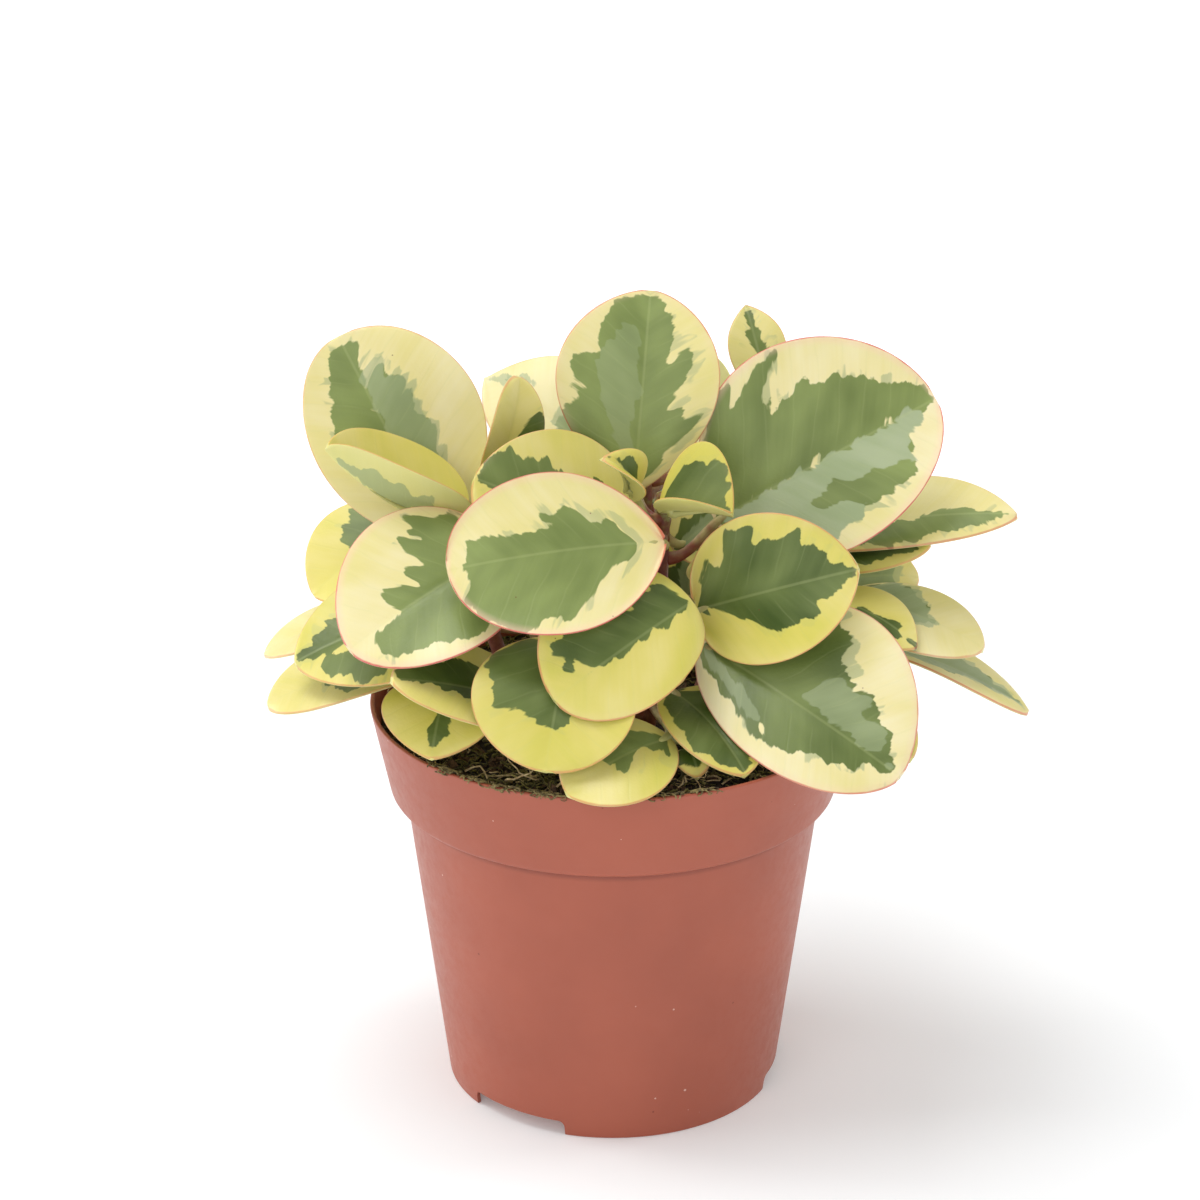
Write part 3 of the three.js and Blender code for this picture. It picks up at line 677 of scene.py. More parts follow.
def pot_profile():
    return straightened(rounded([
        (0.01, FLOOR_RISE, 0),
        (inner_radius(FLOOR_RISE), FLOOR_RISE, 1.0),
        (FOOT_RADIUS - WALL, 0, 0.3),
        (FOOT_RADIUS, 0, 0.5),
        (SHOULDER_RADIUS, COLLAR_FOOT, 0.5),
        (COLLAR_FOOT_RADIUS - 0.1, COLLAR_FOOT, 1.5),
        (RIM_RADIUS, POT_HEIGHT, 0.6),
        (RIM_RADIUS - WALL, POT_HEIGHT, 0.5),
        (COLLAR_FOOT_RADIUS - WALL, SHELF, 1.2),
        (SHOULDER_RADIUS - WALL, SHELF, 1.2),
        (inner_radius(FLOOR_TOP), FLOOR_TOP, 1.5),
        (0.01, FLOOR_TOP, 0),
    ]))


def cutter(build):
    """A solid to cut with, from a function that builds its shape."""
    mesh = bpy.data.meshes.new("cutter")
    shape = bmesh.new()
    build(shape)
    shape.to_mesh(mesh)
    shape.free()
    return add_object("cutter", mesh)


def notch_cutter(azimuth):
    """A block with two round upper corners, standing across the foot ring."""
    half, height, corner = NOTCH["width"] / 2, NOTCH["height"], NOTCH["corner"]
    outline = [(-half, -height), (half, -height)]
    for side, start in ((1, 0), (-1, 90)):
        for k in range(7):
            turn = math.radians(start + 15 * k)
            outline.append((side * (half - corner) + corner * math.cos(turn),
                            height - corner + corner * math.sin(turn)))
    turn = math.radians(azimuth)
    out = Vector((math.cos(turn), math.sin(turn), 0))
    across = Vector((-math.sin(turn), math.cos(turn), 0))

    def build(shape):
        near, far = [], []
        for reach, ring in ((FOOT_RADIUS - NOTCH["inset"], near),
                            (FOOT_RADIUS - NOTCH["inset"] + NOTCH["depth"], far)):
            for x, z in outline:
                place = Vector(POT_AXIS) + out * reach + across * x + Vector((0, 0, z))
                ring.append(shape.verts.new(place * MM))
        shape.faces.new(near)
        shape.faces.new(list(reversed(far)))
        for k in range(len(outline)):
            m = (k + 1) % len(outline)
            shape.faces.new((near[m], near[k], far[k], far[m]))
        bmesh.ops.recalc_face_normals(shape, faces=shape.faces)

    return cutter(build)


def drain_cutter(index):
    turn = 2 * math.pi * index / DRAIN["count"]
    centre = Vector((DRAIN["ring_radius"] * math.cos(turn), DRAIN["ring_radius"] * math.sin(turn),
                     FLOOR_RISE)) + Vector(POT_AXIS)

    def build(shape):
        bmesh.ops.create_cone(shape, cap_ends=True, segments=DRAIN["sides"],
                              radius1=DRAIN["radius"] * MM, radius2=DRAIN["radius"] * MM,
                              depth=4 * WALL * MM)
        bmesh.ops.translate(shape, verts=shape.verts, vec=centre * MM)

    return cutter(build)


def cut(piece, cutters):
    """Takes the cutters out of the piece, and applies it to its mesh."""
    for solid in cutters:
        modifier = piece.modifiers.new("cut", "BOOLEAN")
        modifier.operation = "DIFFERENCE"
        modifier.solver = "EXACT"
        modifier.object = solid
    graph = bpy.context.evaluated_depsgraph_get()
    mesh = bpy.data.meshes.new_from_object(piece.evaluated_get(graph))
    piece.modifiers.clear()
    piece.data = mesh
    for solid in cutters:
        bpy.data.objects.remove(solid)


def make_pot(material):
    profile = pot_profile()
    points = []
    for r, z in profile:
        for k in range(POT_SIDES):
            turn = 2 * math.pi * k / POT_SIDES
            points.append((r * math.cos(turn), r * math.sin(turn), z))
    faces = grid_faces(len(profile), POT_SIDES, closed=True)
    last = (len(profile) - 1) * POT_SIDES
    faces.append(tuple(reversed(range(POT_SIDES))))
    faces.append(tuple(range(last, last + POT_SIDES)))
    pot = mesh_piece("nursery_pot", points, faces, material)
    cutters = [notch_cutter(NOTCH["first_azimuth"] + 360 * k / NOTCH["count"])
               for k in range(NOTCH["count"])]
    cutters += [drain_cutter(k) for k in range(DRAIN["count"])]
    cut(pot, cutters)
    pot.data.shade_smooth()
    pot.data.set_sharp_from_angle(angle=math.radians(40))
    return pot


def pot_material():
    """Dull plastic, a little cloudy, with painted shade just under the collar and a few specks."""
    plastic = Surface("terracotta_plastic")
    place = plastic.place()
    cloudy = plastic.noise(place, scale=0.03, detail=3)
    colour = plastic.mix(plastic.step(cloudy, 0.2, 0.8), TERRACOTTA, TERRACOTTA_DARK)
    height = plastic.parts(place)[2]
    # painted shade: the body just under the collar's foot is darkened towards red-brown, where the
    # collar shades it
    painted_crease_shade = plastic.step(height, COLLAR_FOOT - 3.2, COLLAR_FOOT - 1.5, 0, 0.5)
    below = plastic.step(height, COLLAR_FOOT - 0.2, COLLAR_FOOT, 1, 0)
    colour = plastic.mix(plastic.times(painted_crease_shade, below), colour, STEM_RED)
    for scale, crowd, size, tint in ((0.2, 0.48, 0.065, DUST), (0.15, 0.45, 0.045, STEM_RED)):
        where = plastic.noise(place, scale=0.3 * scale + 0.02, detail=0)
        speck = plastic.math("LESS_THAN", plastic.cells(place, scale),
                             plastic.step(where, crowd, 0.7, 0.0, size))
        colour = plastic.mix(plastic.times(speck, 0.7), colour, tint)
    scuffs = plastic.noise(place, scale=0.35, detail=6, roughness=0.7)
    fine = plastic.noise(place, scale=6.0, detail=2)
    plastic.set(Base_Color=colour,
                Roughness=plastic.step(scuffs, 0.3, 0.75, 0.36, 0.5),
                Normal=plastic.bump(fine, 0.05, 0.0002),
                Specular_IOR_Level=0.5)
    return plastic.material


# ---------------------------------------------------------------- soil

def soil_height(x, y):
    middling, wide, small = SOIL_SWELLS
    waves = (np.sin(x / middling + y / wide) + np.cos(y / middling - x / wide)
             + np.sin((x - y) / small) / 2)
    front = smooth_step(-y, 0, RIM_RADIUS)
    return SOIL_LEVEL + SOIL_MOUND * waves / 2 + SOIL_FRONT_RISE * front


def crumbs(x, y):
    """Fine lumps on the soil, in millimetres."""
    lumps = []
    for a, b in zip(np.ravel(x), np.ravel(y)):
        spot = Vector((a, b, 0.0))
        lumps.append(1.1 * noise.fractal(spot / 4.5, 0.9, 2.1, 5)
                     + 0.5 * abs(noise.noise(spot / 1.3)))
    return np.array(lumps).reshape(np.shape(x))


def make_soil(material):
    """The top of the soil as lumpy ground, and its plain sides down in the pot."""
    edge = inner_radius(SOIL_LEVEL) - 0.25
    turns = np.linspace(0, 2 * math.pi, SOIL_SPOKES, endpoint=False)
    points = []
    for i in range(SOIL_RINGS):
        radius = edge * (i + 1) / SOIL_RINGS
        x, y = radius * np.cos(turns), radius * np.sin(turns)
        z = soil_height(x, y) + crumbs(x, y) * smooth_step(edge - radius, -0.5, 2.5)
        points += np.stack([x, y, z], axis=1).tolist()
    side = [(edge - 0.6, SOIL_LEVEL - 4),
            (COLLAR_FOOT_RADIUS - WALL - 1.6, SHELF + 1.4),
            (SHOULDER_RADIUS - WALL - 0.8, SHELF + 0.5),
            (FOOT_RADIUS - WALL + 0.6, FLOOR_TOP + 0.4)]
    for radius, z in side:
        points += [[radius * math.cos(turn), radius * math.sin(turn), z] for turn in turns]
    rings = SOIL_RINGS + len(side)
    faces = grid_faces(rings, SOIL_SPOKES, closed=True)
    top, bottom = len(points), len(points) + 1
    points.append([0, 0, float(soil_height(0, 0))])
    points.append([0, 0, FLOOR_TOP + 0.4])
    last = (rings - 1) * SOIL_SPOKES
    for j in range(SOIL_SPOKES):
        faces.append((top, (j + 1) % SOIL_SPOKES, j))
        faces.append((bottom, last + j, last + (j + 1) % SOIL_SPOKES))
    faces = [tuple(reversed(face)) for face in faces]
    return mesh_piece("soil_ground", points, faces, material)


def soil_material():
    earth = Surface("peat")
    lumps = earth.noise(earth.place(), scale=0.5, detail=5, roughness=0.65)
    earth.set(Base_Color=earth.mix(earth.step(lumps, 0.35, 0.75), *SOIL), Roughness=0.95,
              Normal=earth.bump(lumps, 0.6, 0.001))
    return earth.material


def scrap_material(name, dark, light):
    scrap = Surface(name)
    grain = scrap.noise(scrap.place(), scale=0.9, detail=4, roughness=0.7)
    scrap.set(Base_Color=scrap.mix(scrap.step(grain, 0.3, 0.7), dark, light), Roughness=0.85,
              Normal=scrap.bump(grain, 0.4, 0.0004))
    return scrap.material


def spot_on_soil(rng, near_rim=0.0):
    """A random place on the soil, closer to its edge the nearer near_rim is to 1."""
    radius = LITTER_REACH * rng.uniform(near_rim, 1) ** 0.5
    turn = rng.uniform(0, 2 * math.pi)
    x, y = radius * math.cos(turn), radius * math.sin(turn)
    return np.array([x, y, float(soil_height(x, y))])


def make_chips(material, rng, count, corners=6):
    """Bits of bark: flat lumps with uneven corners."""
    points, faces = [], []
    for _ in range(count):
        centre = spot_on_soil(rng, 0.1) + (0, 0, rng.uniform(0, 0.8))
        size = rng.choice((0.6, 0.8, 1.1, 1.6, 2.4))
        axes = [unit(np.array([rng.gauss(0, 1) for _ in range(3)])) for _ in range(3)]
        start = len(points)
        for z in (-1, 1):
            for k in range(corners):
                turn = 2 * math.pi * k / corners + rng.uniform(-0.3, 0.3)
                reach = size * rng.uniform(0.6, 1.2)
                points.append(centre + axes[0] * reach * math.cos(turn)
                              + axes[1] * reach * 0.7 * math.sin(turn)
                              + axes[2] * size * 0.3 * z * rng.uniform(0.6, 1.2))
        faces += grid_faces(2, corners, closed=True, start=start)
        faces.append(tuple(start + k for k in reversed(range(corners))))
        faces.append(tuple(start + corners + k for k in range(corners)))
    chips = mesh_piece("soil_chips", points, faces, material)
    chips.data.shade_flat()
    return chips


def make_fibres(name, material, rng, count, thickness, length, near_rim, lift):
    """Strands of moss or root that curl over the ground."""
    strands = []
    for _ in range(count):
        place = spot_on_soil(rng, near_rim) + (0, 0, rng.uniform(0.2, lift))
        heading = rng.uniform(0, 2 * math.pi)
        climb = rng.uniform(-0.3, 0.7)
        path = [place]
        for _ in range(FIBRE_STEPS):
            heading += rng.gauss(0, 0.55)
            climb += rng.gauss(-0.12, 0.35)
            stride = rng.uniform(*length) / FIBRE_STEPS
            move = np.array([math.cos(heading), math.sin(heading), climb * 0.7]) * stride
            place = place + move
            place[:2] *= min(1, FIBRE_REACH / math.hypot(place[0], place[1]))
            ground = float(soil_height(place[0], place[1])) + 0.3
            place[2] = max(place[2], ground)
            path.append(place)
        radius = rng.uniform(*thickness)
        strands.append((path, radius, radius * 0.4))
    return bundle(name, material, strands)


def make_rim_moss(material, rng, count):
    """Short curly strands that creep from the soil over the pot's rim."""
    strands = []
    for _ in range(count):
        turn = math.radians(rng.gauss(*rng.choice(RIM_MOSS)))
        reach, rise = RIM_RADIUS - WALL - rng.uniform(0.8, 2.6), rng.uniform(-2.2, -0.6)
        path = []
        for _ in range(rng.randint(6, 11)):
            path.append((reach * math.cos(turn), reach * math.sin(turn), POT_HEIGHT + rise))
            turn += rng.gauss(0, 0.013)
            reach = min(reach + rng.uniform(-0.2, 0.9), RIM_RADIUS + 0.4)
            over = smooth_step(reach, RIM_RADIUS - WALL - 1.2, RIM_RADIUS - WALL - 0.2)
            rise = max(rise, -2 + 2.25 * over) + rng.uniform(-0.1, 0.25)
            if reach > RIM_RADIUS + 0.25:
                rise -= rng.uniform(0.4, 0.9)
        radius = rng.uniform(0.18, 0.42)
        strands.append((catmull_rom(path, 14), radius, radius * 0.5))
    return bundle("rim_moss", material, strands)


# ---------------------------------------------------------------- stems

def stem_path(stem, steps):
    x, y = stem.foot
    top = np.array(stem.top, dtype=float)
    upright = np.array([x, y, SOIL_LEVEL + STEM_UPRIGHT], dtype=float)
    halfway = upright + (top - upright) * 0.5
    halfway += (np.array([top[0], top[1], upright[2]]) - halfway) * STEM_BOW
    return catmull_rom([(x, y, SOIL_LEVEL - STEM_DEPTH + GAP), (x, y, SOIL_LEVEL),
                        upright, halfway, top], steps)


def stem_radius(stem, along):
    return stem.radius + (STEM_TOP_RADIUS - stem.radius) * along


def seat_on_stem(stem, height, steps=400):
    """How far up its stem a leaf at that height stands, the place and the way up there."""
    path = stem_path(stem, steps)
    index = min(int(np.argmax(path[:, 2] >= height)) or steps, steps)
    tangent = unit(path[min(index + 1, steps)] - path[max(index - 1, 0)])
    return index / steps, path[index], tangent


def make_stem(name, stem, heights, material, steps=110, sides=20):
    """A stem with a slight swelling and a ring at each leaf."""
    path = stem_path(stem, steps)
    along = np.linspace(0, 1, steps + 1)
    radii = stem_radius(stem, along)
    rings = np.zeros(steps + 1)
    for height in heights:
        up = path[:, 2] - height
        radii = radii + NODE_SWELLING["height"] * np.exp(-(up / NODE_SWELLING["reach"]) ** 2)
        ring = np.exp(-((up + NODE_RING["below"]) / NODE_RING["reach"]) ** 2)
        rings = np.maximum(rings, ring)
    radii = radii * (1 - 0.9 * smooth_step(along, 0.985, 1.0) ** 2)
    points, faces = tube(path, radii, sides)
    form = np.stack([(path[:, 2] - SOIL_LEVEL) / 60, rings, np.zeros_like(rings)], axis=1)
    return mesh_piece(name, points, faces, material, {"stem_form": np.repeat(form, sides, axis=0)})


def stem_material():
    """Brown at the foot, red above and green at the top, with streaks."""
    bark = Surface("stem_skin")
    up, ring, _ = bark.attribute("stem_form")
    streaks = bark.noise(bark.place(), scale=0.45, detail=4, roughness=0.6)
    mottle = bark.plus(up, bark.math("SUBTRACT", streaks, 0.5), 1.2)
    colour = bark.mix(bark.step(mottle, 0.1, 0.7), STEM_BROWN, STEM_RED)
    colour = bark.mix(bark.step(mottle, 0.75, 1.3), colour, STEM_GREEN)
    colour = bark.mix(bark.times(ring, 0.5), colour, STEM_BROWN)
    bark.set(Base_Color=colour, Roughness=0.42, Normal=bark.bump(streaks, 0.25, 0.0004))
    return bark.material


# ---------------------------------------------------------------- leaves

@dataclass
class Axes:
    """Where a blade lies: its base and length, and its three directions."""
    base: np.ndarray
    length: float
    along: np.ndarray
    left: np.ndarray
    up: np.ndarray


def blade_axes(leaf):
    base = np.array(leaf.base, dtype=float)
    reach = np.array(leaf.tip, dtype=float) - base
    length = float(np.linalg.norm(reach))
    along = reach / length
    up = np.array(leaf.face, dtype=float)
    up = unit(up - along * up.dot(along))
    return Axes(base, length, along, np.cross(up, along), up)


def half_width(leaf, s, t):
    swell = s ** (math.log(0.5) / math.log(leaf.widest))
    roundness = leaf.blunt[0] + (leaf.blunt[1] - leaf.blunt[0]) * s
    return (leaf.width / 2) * (4 * swell * (1 - swell)) ** roundness * (
        1 + leaf.skew * np.sign(t))


def blade_point(leaf, axes, s, t, lift=0.0):
    """Points on the middle of the blade, raised by lift along its own upward direction."""
    reach = t * half_width(leaf, s, t)
    fold = np.radians(np.where(t > 0, leaf.fold[0], leaf.fold[1]))
    rise = np.abs(reach) * np.sin(fold) + leaf.arch * 4 * s * (1 - s) + lift
    return (axes.base + (s * axes.length)[..., None] * axes.along
            + (reach * np.cos(fold))[..., None] * axes.left + rise[..., None] * axes.up)


def rim_distance(leaf, axes, s, t, small=1e-3):
    """How far a point of the blade lies from the blade's outline, in millimetres."""
    ahead = np.clip(s + small, 0, 1)
    behind = np.clip(s - small, 0, 1)
    half = half_width(leaf, s, t)
    slope = (half_width(leaf, ahead, t) - half_width(leaf, behind, t)) / (
        (ahead - behind) * axes.length)
    return half * (1 - np.abs(t)) / np.sqrt(1 + slope ** 2)


def patch_field(leaf, axes, s, t, outlines):
    """How deep inside the outlines each point is, in millimetres, or how far outside."""
    x, y = s * axes.length, t * half_width(leaf, s, t)
    depth = np.full(np.shape(x), -50.0)
    for outline in outlines:
        corner = np.array(outline, dtype=float)
        cx = corner[:, 0] * axes.length
        cy = corner[:, 1] * half_width(leaf, np.clip(corner[:, 0], 0.01, 0.99), corner[:, 1])
        nearest = np.full(np.shape(x), 1e9)
        inside = np.zeros(np.shape(x), dtype=bool)
        for ax, ay, bx, by in zip(cx, cy, np.roll(cx, -1), np.roll(cy, -1)):
            dx, dy = bx - ax, by - ay
            u = np.clip(((x - ax) * dx + (y - ay) * dy) / (dx * dx + dy * dy + 1e-9), 0, 1)
            nearest = np.minimum(nearest, np.hypot(x - ax - u * dx, y - ay - u * dy))
            crosses = (ay > y) != (by > y)
            level = ax + dx * (y - ay) / np.where(dy == 0, 1e-9, dy)
            inside ^= crosses & (x < level)
        depth = np.maximum(depth, np.where(inside, nearest, -nearest))
    return depth


def blended(first, second, reach=6.0):
    """The greater of two fields, raised a little where both of them end."""
    near = np.maximum(reach - np.abs(first - second), 0) / reach
    return np.maximum(first, second) + near ** 2 * reach / 4


def grown_outline(rng, reach):
    """An uneven patch around the midrib, for a leaf that MARKINGS doesn't list."""
    right, left = [], []
    for k in range(8):
        s = 0.03 + 0.11 * k
        spread = reach * (1 - 0.35 * (k / 7) ** 2)
        right.append((s, -spread * rng.uniform(0.45, 1.1)))
        left.append((s + rng.uniform(-0.03, 0.03), spread * rng.uniform(0.45, 1.1)))
    return right + [(0.9, 0.0)] + left[::-1]


def marks_of(number, rng):
    if number in MARKINGS:
        return MARKINGS[number]
    reach = rng.uniform(0.45, 0.8)
    return Marks(yellow=rng.uniform(0.3, 0.9), dark=rng.uniform(0.3, 0.8),
                 deep=[grown_outline(rng, reach)], pale=[grown_outline(rng, reach * 0.45)])


def closed_skin(top, bottom):
    """Points and faces of a thin solid between two grids of points."""
    rows, columns = top.shape[:2]
    count = rows * columns
    faces = [tuple(reversed(face)) for face in grid_faces(rows, columns)]
    faces += grid_faces(rows, columns, start=count)
    outline = ([j for j in range(columns)] + [i * columns + columns - 1 for i in range(1, rows)]
               + [(rows - 1) * columns + j for j in range(columns - 2, -1, -1)]
               + [i * columns for i in range(rows - 2, 0, -1)])
    for k, here in enumerate(outline):
        there = outline[(k + 1) % len(outline)]
        faces.append((here, there, there + count, here + count))
    return np.vstack([top.reshape(-1, 3), bottom.reshape(-1, 3)]), faces


def for_both_sides(*parts):
    """Three values at each point of a blade, first for its upper side and then for its lower."""
    values = np.stack(np.broadcast_arrays(*parts), axis=-1).reshape(-1, 3)
    return np.vstack([values, values])


def make_blade(number, leaf, marks, material):
    """A blade that is thick in the middle, with what its material needs at each point."""
    axes = blade_axes(leaf)
    axes = replace(axes, base=axes.base - marks.lip * axes.along, length=axes.length + marks.lip)
    seed = 11.3 * number
    rows = 30 + int(leaf.width)
    columns = 21 + 2 * int(leaf.width / 2)
    s = 0.004 + 0.992 * (1 - np.cos(np.linspace(0, math.pi, rows))) / 2
    t = np.sin(np.linspace(-math.pi / 2, math.pi / 2, columns))
    s, t = np.meshgrid(s, t, indexing="ij")
    rim = rim_distance(leaf, axes, s, t)
    thick = (MID_THICKNESS + (EDGE_THICKNESS - MID_THICKNESS) * np.abs(t)) / 2
    thick *= np.sqrt(1 - (1 - np.clip(rim / (EDGE_THICKNESS / 2), 0, 1)) ** 2)
    off = np.abs(t) * half_width(leaf, s, t)
    wave = WAVE * np.sin(6.2 * s + seed) * np.sin(3.1 * t + 1.7 * seed) * np.abs(t)
    wave += marks.curl * np.abs(t) ** 5 * (1 + np.exp(-s / 0.15))
    groove = GROOVE_DEPTH * np.exp(-(off / GROOVE_WIDTH) ** 2) * (1 - smooth_step(s, 0.55, 0.95))
    points, faces = closed_skin(blade_point(leaf, axes, s, t, wave + thick - groove),
                                blade_point(leaf, axes, s, t, wave - thick))
    deep, pale, over = (patch_field(leaf, axes, s, t, outlines)
                        for outlines in (marks.deep, marks.pale, marks.over))
    deep, pale = blended(np.maximum(deep, over), pale - 1), np.minimum(pale, -over)
    vein = s * axes.length - VEIN_SLANT * off + VEIN_BEND * off ** 2
    kind = for_both_sides(marks.yellow, np.zeros_like(off), marks.blush)
    kind[off.size:, 1] = 1
    return mesh_piece(f"leaf_blade_{number:02d}", points, faces, material,
                      {"leaf_grain": for_both_sides(vein, off * np.sign(t), seed),
                       "leaf_patch": for_both_sides(deep, pale, rim),
                       "leaf_kind": kind,
                       "leaf_tone": for_both_sides(marks.dark, marks.grey, np.zeros_like(off))})


def stalk_path(leaf, axes, steps):
    """From the stem's skin to a little way under the blade, and the way out of the stem."""
    stem = STEMS[leaf.stem]
    along, seat, tangent = seat_on_stem(stem, leaf.node)
    outward = axes.base - seat
    outward = unit(outward - tangent * outward.dot(tangent))
    start = seat + outward * (stem_radius(stem, along) + GAP)
    curl = STALK_CURL * np.linalg.norm(start - axes.base)
    end = blade_point(leaf, axes, np.array(STALK_REACH / axes.length), np.array(0.0))
    return bezier(start, start + outward * curl, end - axes.along * curl, end, steps), outward


def make_stalk(number, leaf, material):
    """The leaf stalk, from inside its stem to a ridge that fades out under the blade."""
    axes = blade_axes(leaf)
    path, outward = stalk_path(leaf, axes, 26)
    s = np.linspace(STALK_REACH / axes.length, RIDGE_END, RIDGE_STEPS)
    lift = np.linspace(*RIDGE_LIFT, RIDGE_STEPS)
    path = np.vstack([path[0] - outward * (GAP + 0.8), path[0] - outward * 0.1, path[1:-1],
                      blade_point(leaf, axes, s, np.zeros_like(s), lift)])
    radii = np.linspace(STALK_RADIUS, STALK_RADIUS * 0.75, len(path))
    radii[:len(STALK_FLARE)] = STALK_RADIUS * np.array(STALK_FLARE)
    radii[-RIDGE_STEPS:] = np.linspace(STALK_RADIUS * 0.7, 0.15, RIDGE_STEPS)
    along = np.linspace(0, 1, STALK_SECTIONS + 1)
    radii = np.interp(along, np.linspace(0, 1, len(path)), radii)
    points, faces = tube(evenly(path, STALK_SECTIONS), radii, STALK_SIDES)
    form = np.outer(np.repeat(along, STALK_SIDES), (1, 0, 0))
    return mesh_piece(f"leaf_stalk_{number:02d}", points, faces, material, {"stalk_form": form})


def leaf_material():
    """Cream or yellow, with greens whose edges fray along the side veins."""
    leaf = Surface("leaf_skin")
    mix, step, times, plus = leaf.mix, leaf.step, leaf.times, leaf.plus
    vein, side, seed = leaf.attribute("leaf_grain")
    off = leaf.math("ABSOLUTE", side)
    deep, pale, rim = leaf.attribute("leaf_patch")
    yellow, under, blush = leaf.attribute("leaf_kind")
    dark, grey, _ = leaf.attribute("leaf_tone")

    def grained(along_scale, off_scale, shift, detail=2.0):
        place = leaf.vector(times(vein, along_scale), times(side, off_scale),
                            leaf.math("ADD", seed, shift))
        return leaf.math("SUBTRACT", leaf.noise(place, detail=detail), 0.5)

    def frayed(depth, shift, soft=0.22):
        depth = plus(depth, grained(0.2, 0.1, shift, 1.0), LOBES)
        depth = plus(depth, grained(0.62, 0.16, shift + 5, 2.0), TEETH)
        return step(depth, -soft, soft)

    cloud = grained(0.06, 0.06, 21.0)
    streak = grained(0.9, 0.05, 31.0, 3.0)
    brush = grained(0.3, 0.06, 41.0, 2.0)
    cream = mix(step(plus(plus(cloud, streak, 0.4), brush, 0.4), -0.35, 0.35), CREAM, CREAM_WARM)
    lime = mix(step(plus(cloud, brush, 0.5), -0.2, 0.3), YELLOW, YELLOW_LIME)
    tone = plus(plus(plus(yellow, cloud, 0.8), streak, 0.06), brush, 0.12)
    ground = mix(leaf.clamped(tone), cream, lime)
    darkness = plus(plus(plus(dark, streak, 0.06), brush, 0.28), cloud, 1.2)
    green = mix(leaf.clamped(darkness), SAGE, DEEP_GREEN)
    silver = mix(step(plus(cloud, brush, 0.5), -0.2, 0.2), GREY_GREEN, GREY_GREEN_DARK)

    greened = frayed(deep, 9.0)
    silvered = frayed(pale, 2.0, 0.3)
    marked = leaf.math("MAXIMUM", greened, silvered)
    ghost = times(frayed(plus(deep, 1.4), 60.0, 0.3), step(plus(brush, cloud), 0.05, 0.14))
    ribs = leaf.math("PINGPONG", plus(vein, cloud, 6.0), RIB_SPACING)
    rib = times(step(ribs, 0.0, 0.4, 1.0, 0.0), step(off, 1.0, 5.0))
    middle = times(step(off, 0.1, 0.5, 1.0, 0.0), plus(0.06, marked, 0.1))
    glow = times(step(rim, 0.2, 2.6, 1.0, 0.0), leaf.math("POWER", blush, 3.0))
    flush = plus(plus(rim, grained(0.12, 0.3, 51.0), 0.4), under, 2.5)
    red = times(step(flush, 0.05, 0.42, 1.0, 0.0), blush)
    place = leaf.place()
    speck = leaf.math("LESS_THAN", leaf.cells(place, 0.12), 0.022)
    colour = ground
    for amount, coat in ((times(ghost, plus(0.65, yellow, -0.6)), silver),
                         (greened, green),
                         (times(silvered, grey), silver),
                         (times(rib, 0.07), MIDRIB),
                         (middle, MIDRIB),
                         (times(under, 0.45), UNDERSIDE),
                         (times(glow, 0.4), PEACH),
                         (times(red, 0.95), ROSE),
                         (times(speck, 0.6), STEM_RED)):
        colour = mix(amount, colour, coat)
    skin = leaf.noise(place, scale=1.2, detail=3)
    leaf.set(Base_Color=colour,
             Roughness=step(plus(skin, under, 0.6), 0.3, 1.2, 0.32, 0.6),
             Normal=leaf.bump(plus(skin, rib, -0.4), 0.1, 0.0005),
             Subsurface_Weight=0.15,
             Subsurface_Radius=(1.0, 1.0, 0.35),
             Subsurface_Scale=0.0012,
             Specular_IOR_Level=0.38)
    return leaf.material


def stalk_material():
    """Red at the stem and green at the blade."""
    skin = Surface("stalk_skin")
    along, _, _ = skin.attribute("stalk_form")
    mottle = skin.noise(skin.place(), scale=0.3, detail=3)
    redness = skin.plus(skin.math("SUBTRACT", 0.62, along), mottle, 0.6)
    colour = skin.mix(skin.step(redness, 0.35, 0.95), STALK_GREEN, STALK_RED)
    skin.set(Base_Color=colour, Roughness=0.4, Normal=skin.bump(mottle, 0.15, 0.0003))
    return skin.material


# ---------------------------------------------------------------- setting

CAMERA = dict(distance=977.6, tilt=22.4, aim=(-3.2, 0, 126.7), lens=120, sensor=36)
WORLD_STRENGTH = 0.52
FLOOR_REACH = 6.0
# painted light: the floor glows, weakly near the pot and more strongly far out
FLOOR_GLOW = (100, 700, 0.15, 0.5)      # from the pot out to where the floor is plain white
LIGHTS_AIM = (0, 0, 0.12)
LIGHTS = {                              # each one's place and size in metres, and its power
    "key": ((-0.5, 0.0, 1.75), (1.0, 1.0), 15),
    "front_fill": ((-0.5, -1.4, 0.9), (1.2, 1.2), 5),
    "left_strip": ((-1.0, 0.35, 0.35), (0.4, 1.1), 5),
    "right_strip": ((1.0, 0.3, 0.35), (0.4, 1.1), 3.2),
}


def make_camera():
    """In front of the pot and above it, tilted down at the plant."""
    tilt = math.radians(CAMERA["tilt"])
    target = Vector(POT_AXIS) + Vector(CAMERA["aim"])
    back = Vector((0, -math.cos(tilt), math.sin(tilt)))
    data = bpy.data.cameras.new("camera")
    data.sensor_width = CAMERA["sensor"]
    data.lens = CAMERA["lens"]
    data.clip_end = 20
    camera = add_object("camera", data)
    camera.location = (target + back * CAMERA["distance"]) * MM
    camera.rotation_euler = (-back).to_track_quat("-Z", "Y").to_euler()
    bpy.context.scene.camera = camera


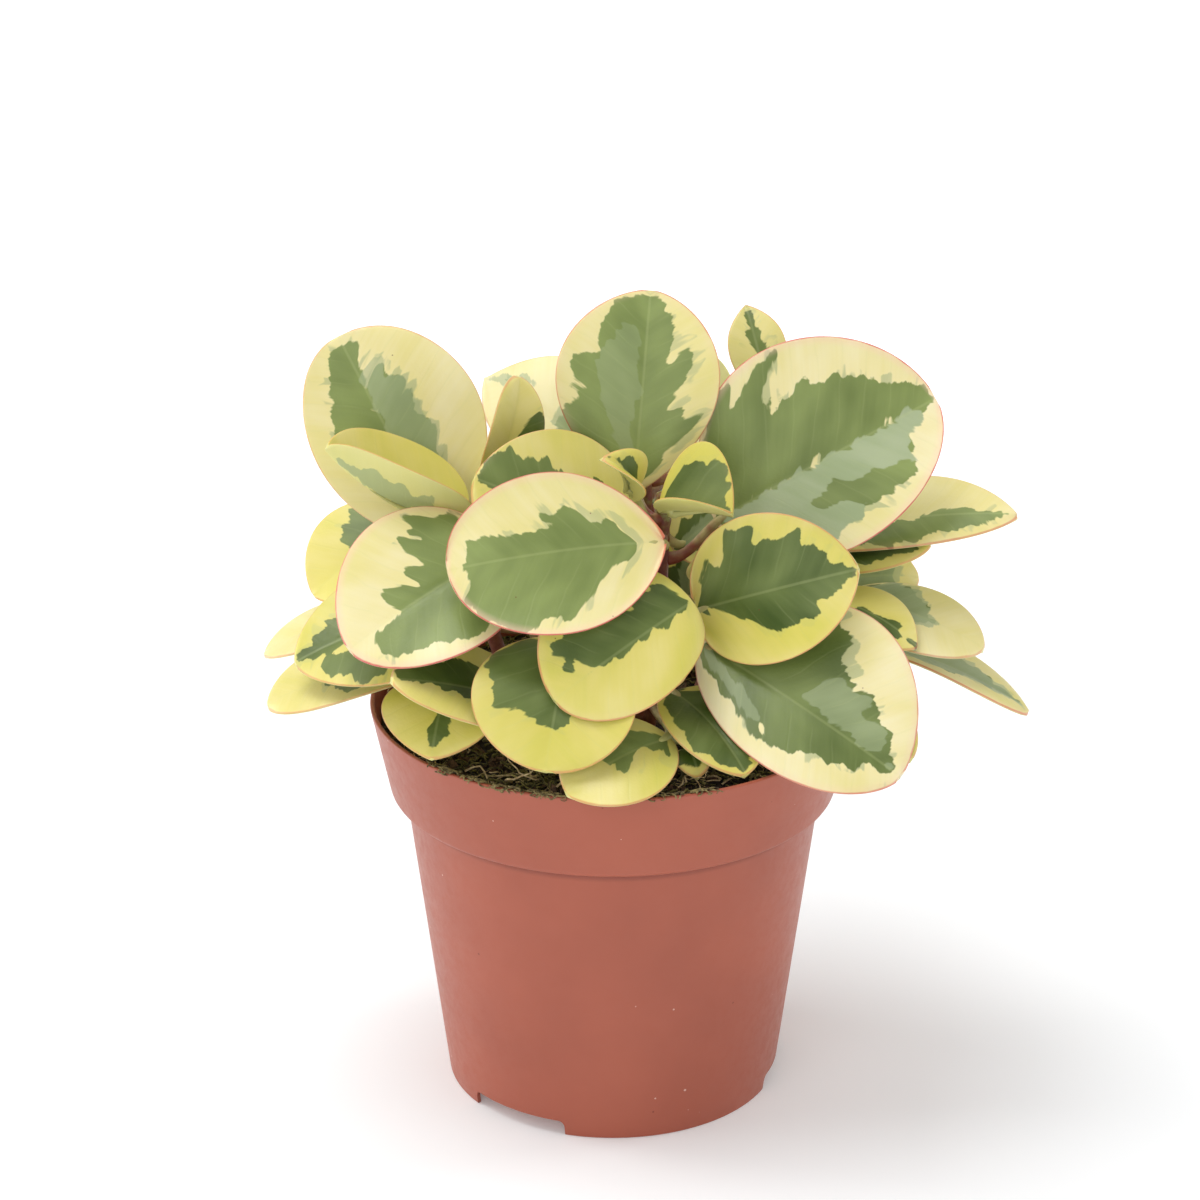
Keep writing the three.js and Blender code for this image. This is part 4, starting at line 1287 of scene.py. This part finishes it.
def make_floor():
    mesh = bpy.data.meshes.new("floor")
    corners = [(FLOOR_REACH * x, FLOOR_REACH * y, 0)
               for x, y in ((-1, -1), (1, -1), (1, 1), (-1, 1))]
    mesh.from_pydata(corners, [], [(0, 1, 2, 3)])
    paper = Surface("pale_floor")
    # painted light: the floor's emission grows with distance from the pot, so the far floor shows
    # plain white
    glow = paper.step(paper.length(paper.place()), *FLOOR_GLOW)
    paper.set(Base_Color=PAPER, Roughness=0.9, Specular_IOR_Level=0.1,
              Emission_Color=(1, 1, 1, 1), Emission_Strength=glow)
    mesh.materials.append(paper.material)
    add_object("floor", mesh)


def make_lights():
    world = bpy.data.worlds.new("studio")
    world.use_nodes = True
    background = world.node_tree.nodes["Background"]
    background.inputs["Color"].default_value = (1, 1, 1, 1)
    background.inputs["Strength"].default_value = WORLD_STRENGTH
    bpy.context.scene.world = world
    for name, (place, size, power) in LIGHTS.items():
        data = bpy.data.lights.new(name, "AREA")
        data.shape = "RECTANGLE"
        data.size, data.size_y = size
        data.energy = power
        light = add_object(name, data)
        light.location = place
        towards = Vector(LIGHTS_AIM) - Vector(place)
        light.rotation_euler = towards.to_track_quat("-Z", "Y").to_euler()


# ---------------------------------------------------------------- the plant

def take(piece, node):
    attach(piece, BODY)
    if node:
        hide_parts(node)


def make_plant():
    take(make_pot(pot_material()), "pot")
    rng = random.Random(7)
    take(make_soil(soil_material()), "potting_soil")
    take(make_chips(scrap_material("bark_bits", *BARK), rng, 700), None)
    moss = scrap_material("moss", *MOSS)
    take(make_fibres("soil_moss", moss, rng, 1300, (0.18, 0.42), (3, 8), 0.2, 2.4), None)
    take(make_rim_moss(scrap_material("dry_moss", *DRY_MOSS), rng, 110), None)
    straw = scrap_material("straw", *STRAW)
    take(make_fibres("soil_straw", straw, rng, 200, (0.15, 0.35), (6, 16), 0.6, 3), None)
    stem_skin = stem_material()
    for number, (name, stem) in enumerate(STEMS.items(), 1):
        heights = [leaf.node for leaf in LEAVES if leaf.stem == name]
        take(make_stem(f"stem_{number}_skin", stem, heights, stem_skin),
             f"stem_{number}")
    leaf_skin = leaf_material()
    stalk_skin = stalk_material()
    for number, leaf in enumerate(LEAVES, 1):
        marks = marks_of(number, random.Random(99 + number))
        take(make_blade(number, leaf, marks, leaf_skin), f"leaf_{number:02d}")
        take(make_stalk(number, leaf, stalk_skin), None)


make_camera()
make_floor()
make_lights()
make_plant()
bpy.context.scene.view_settings.view_transform = "Standard"
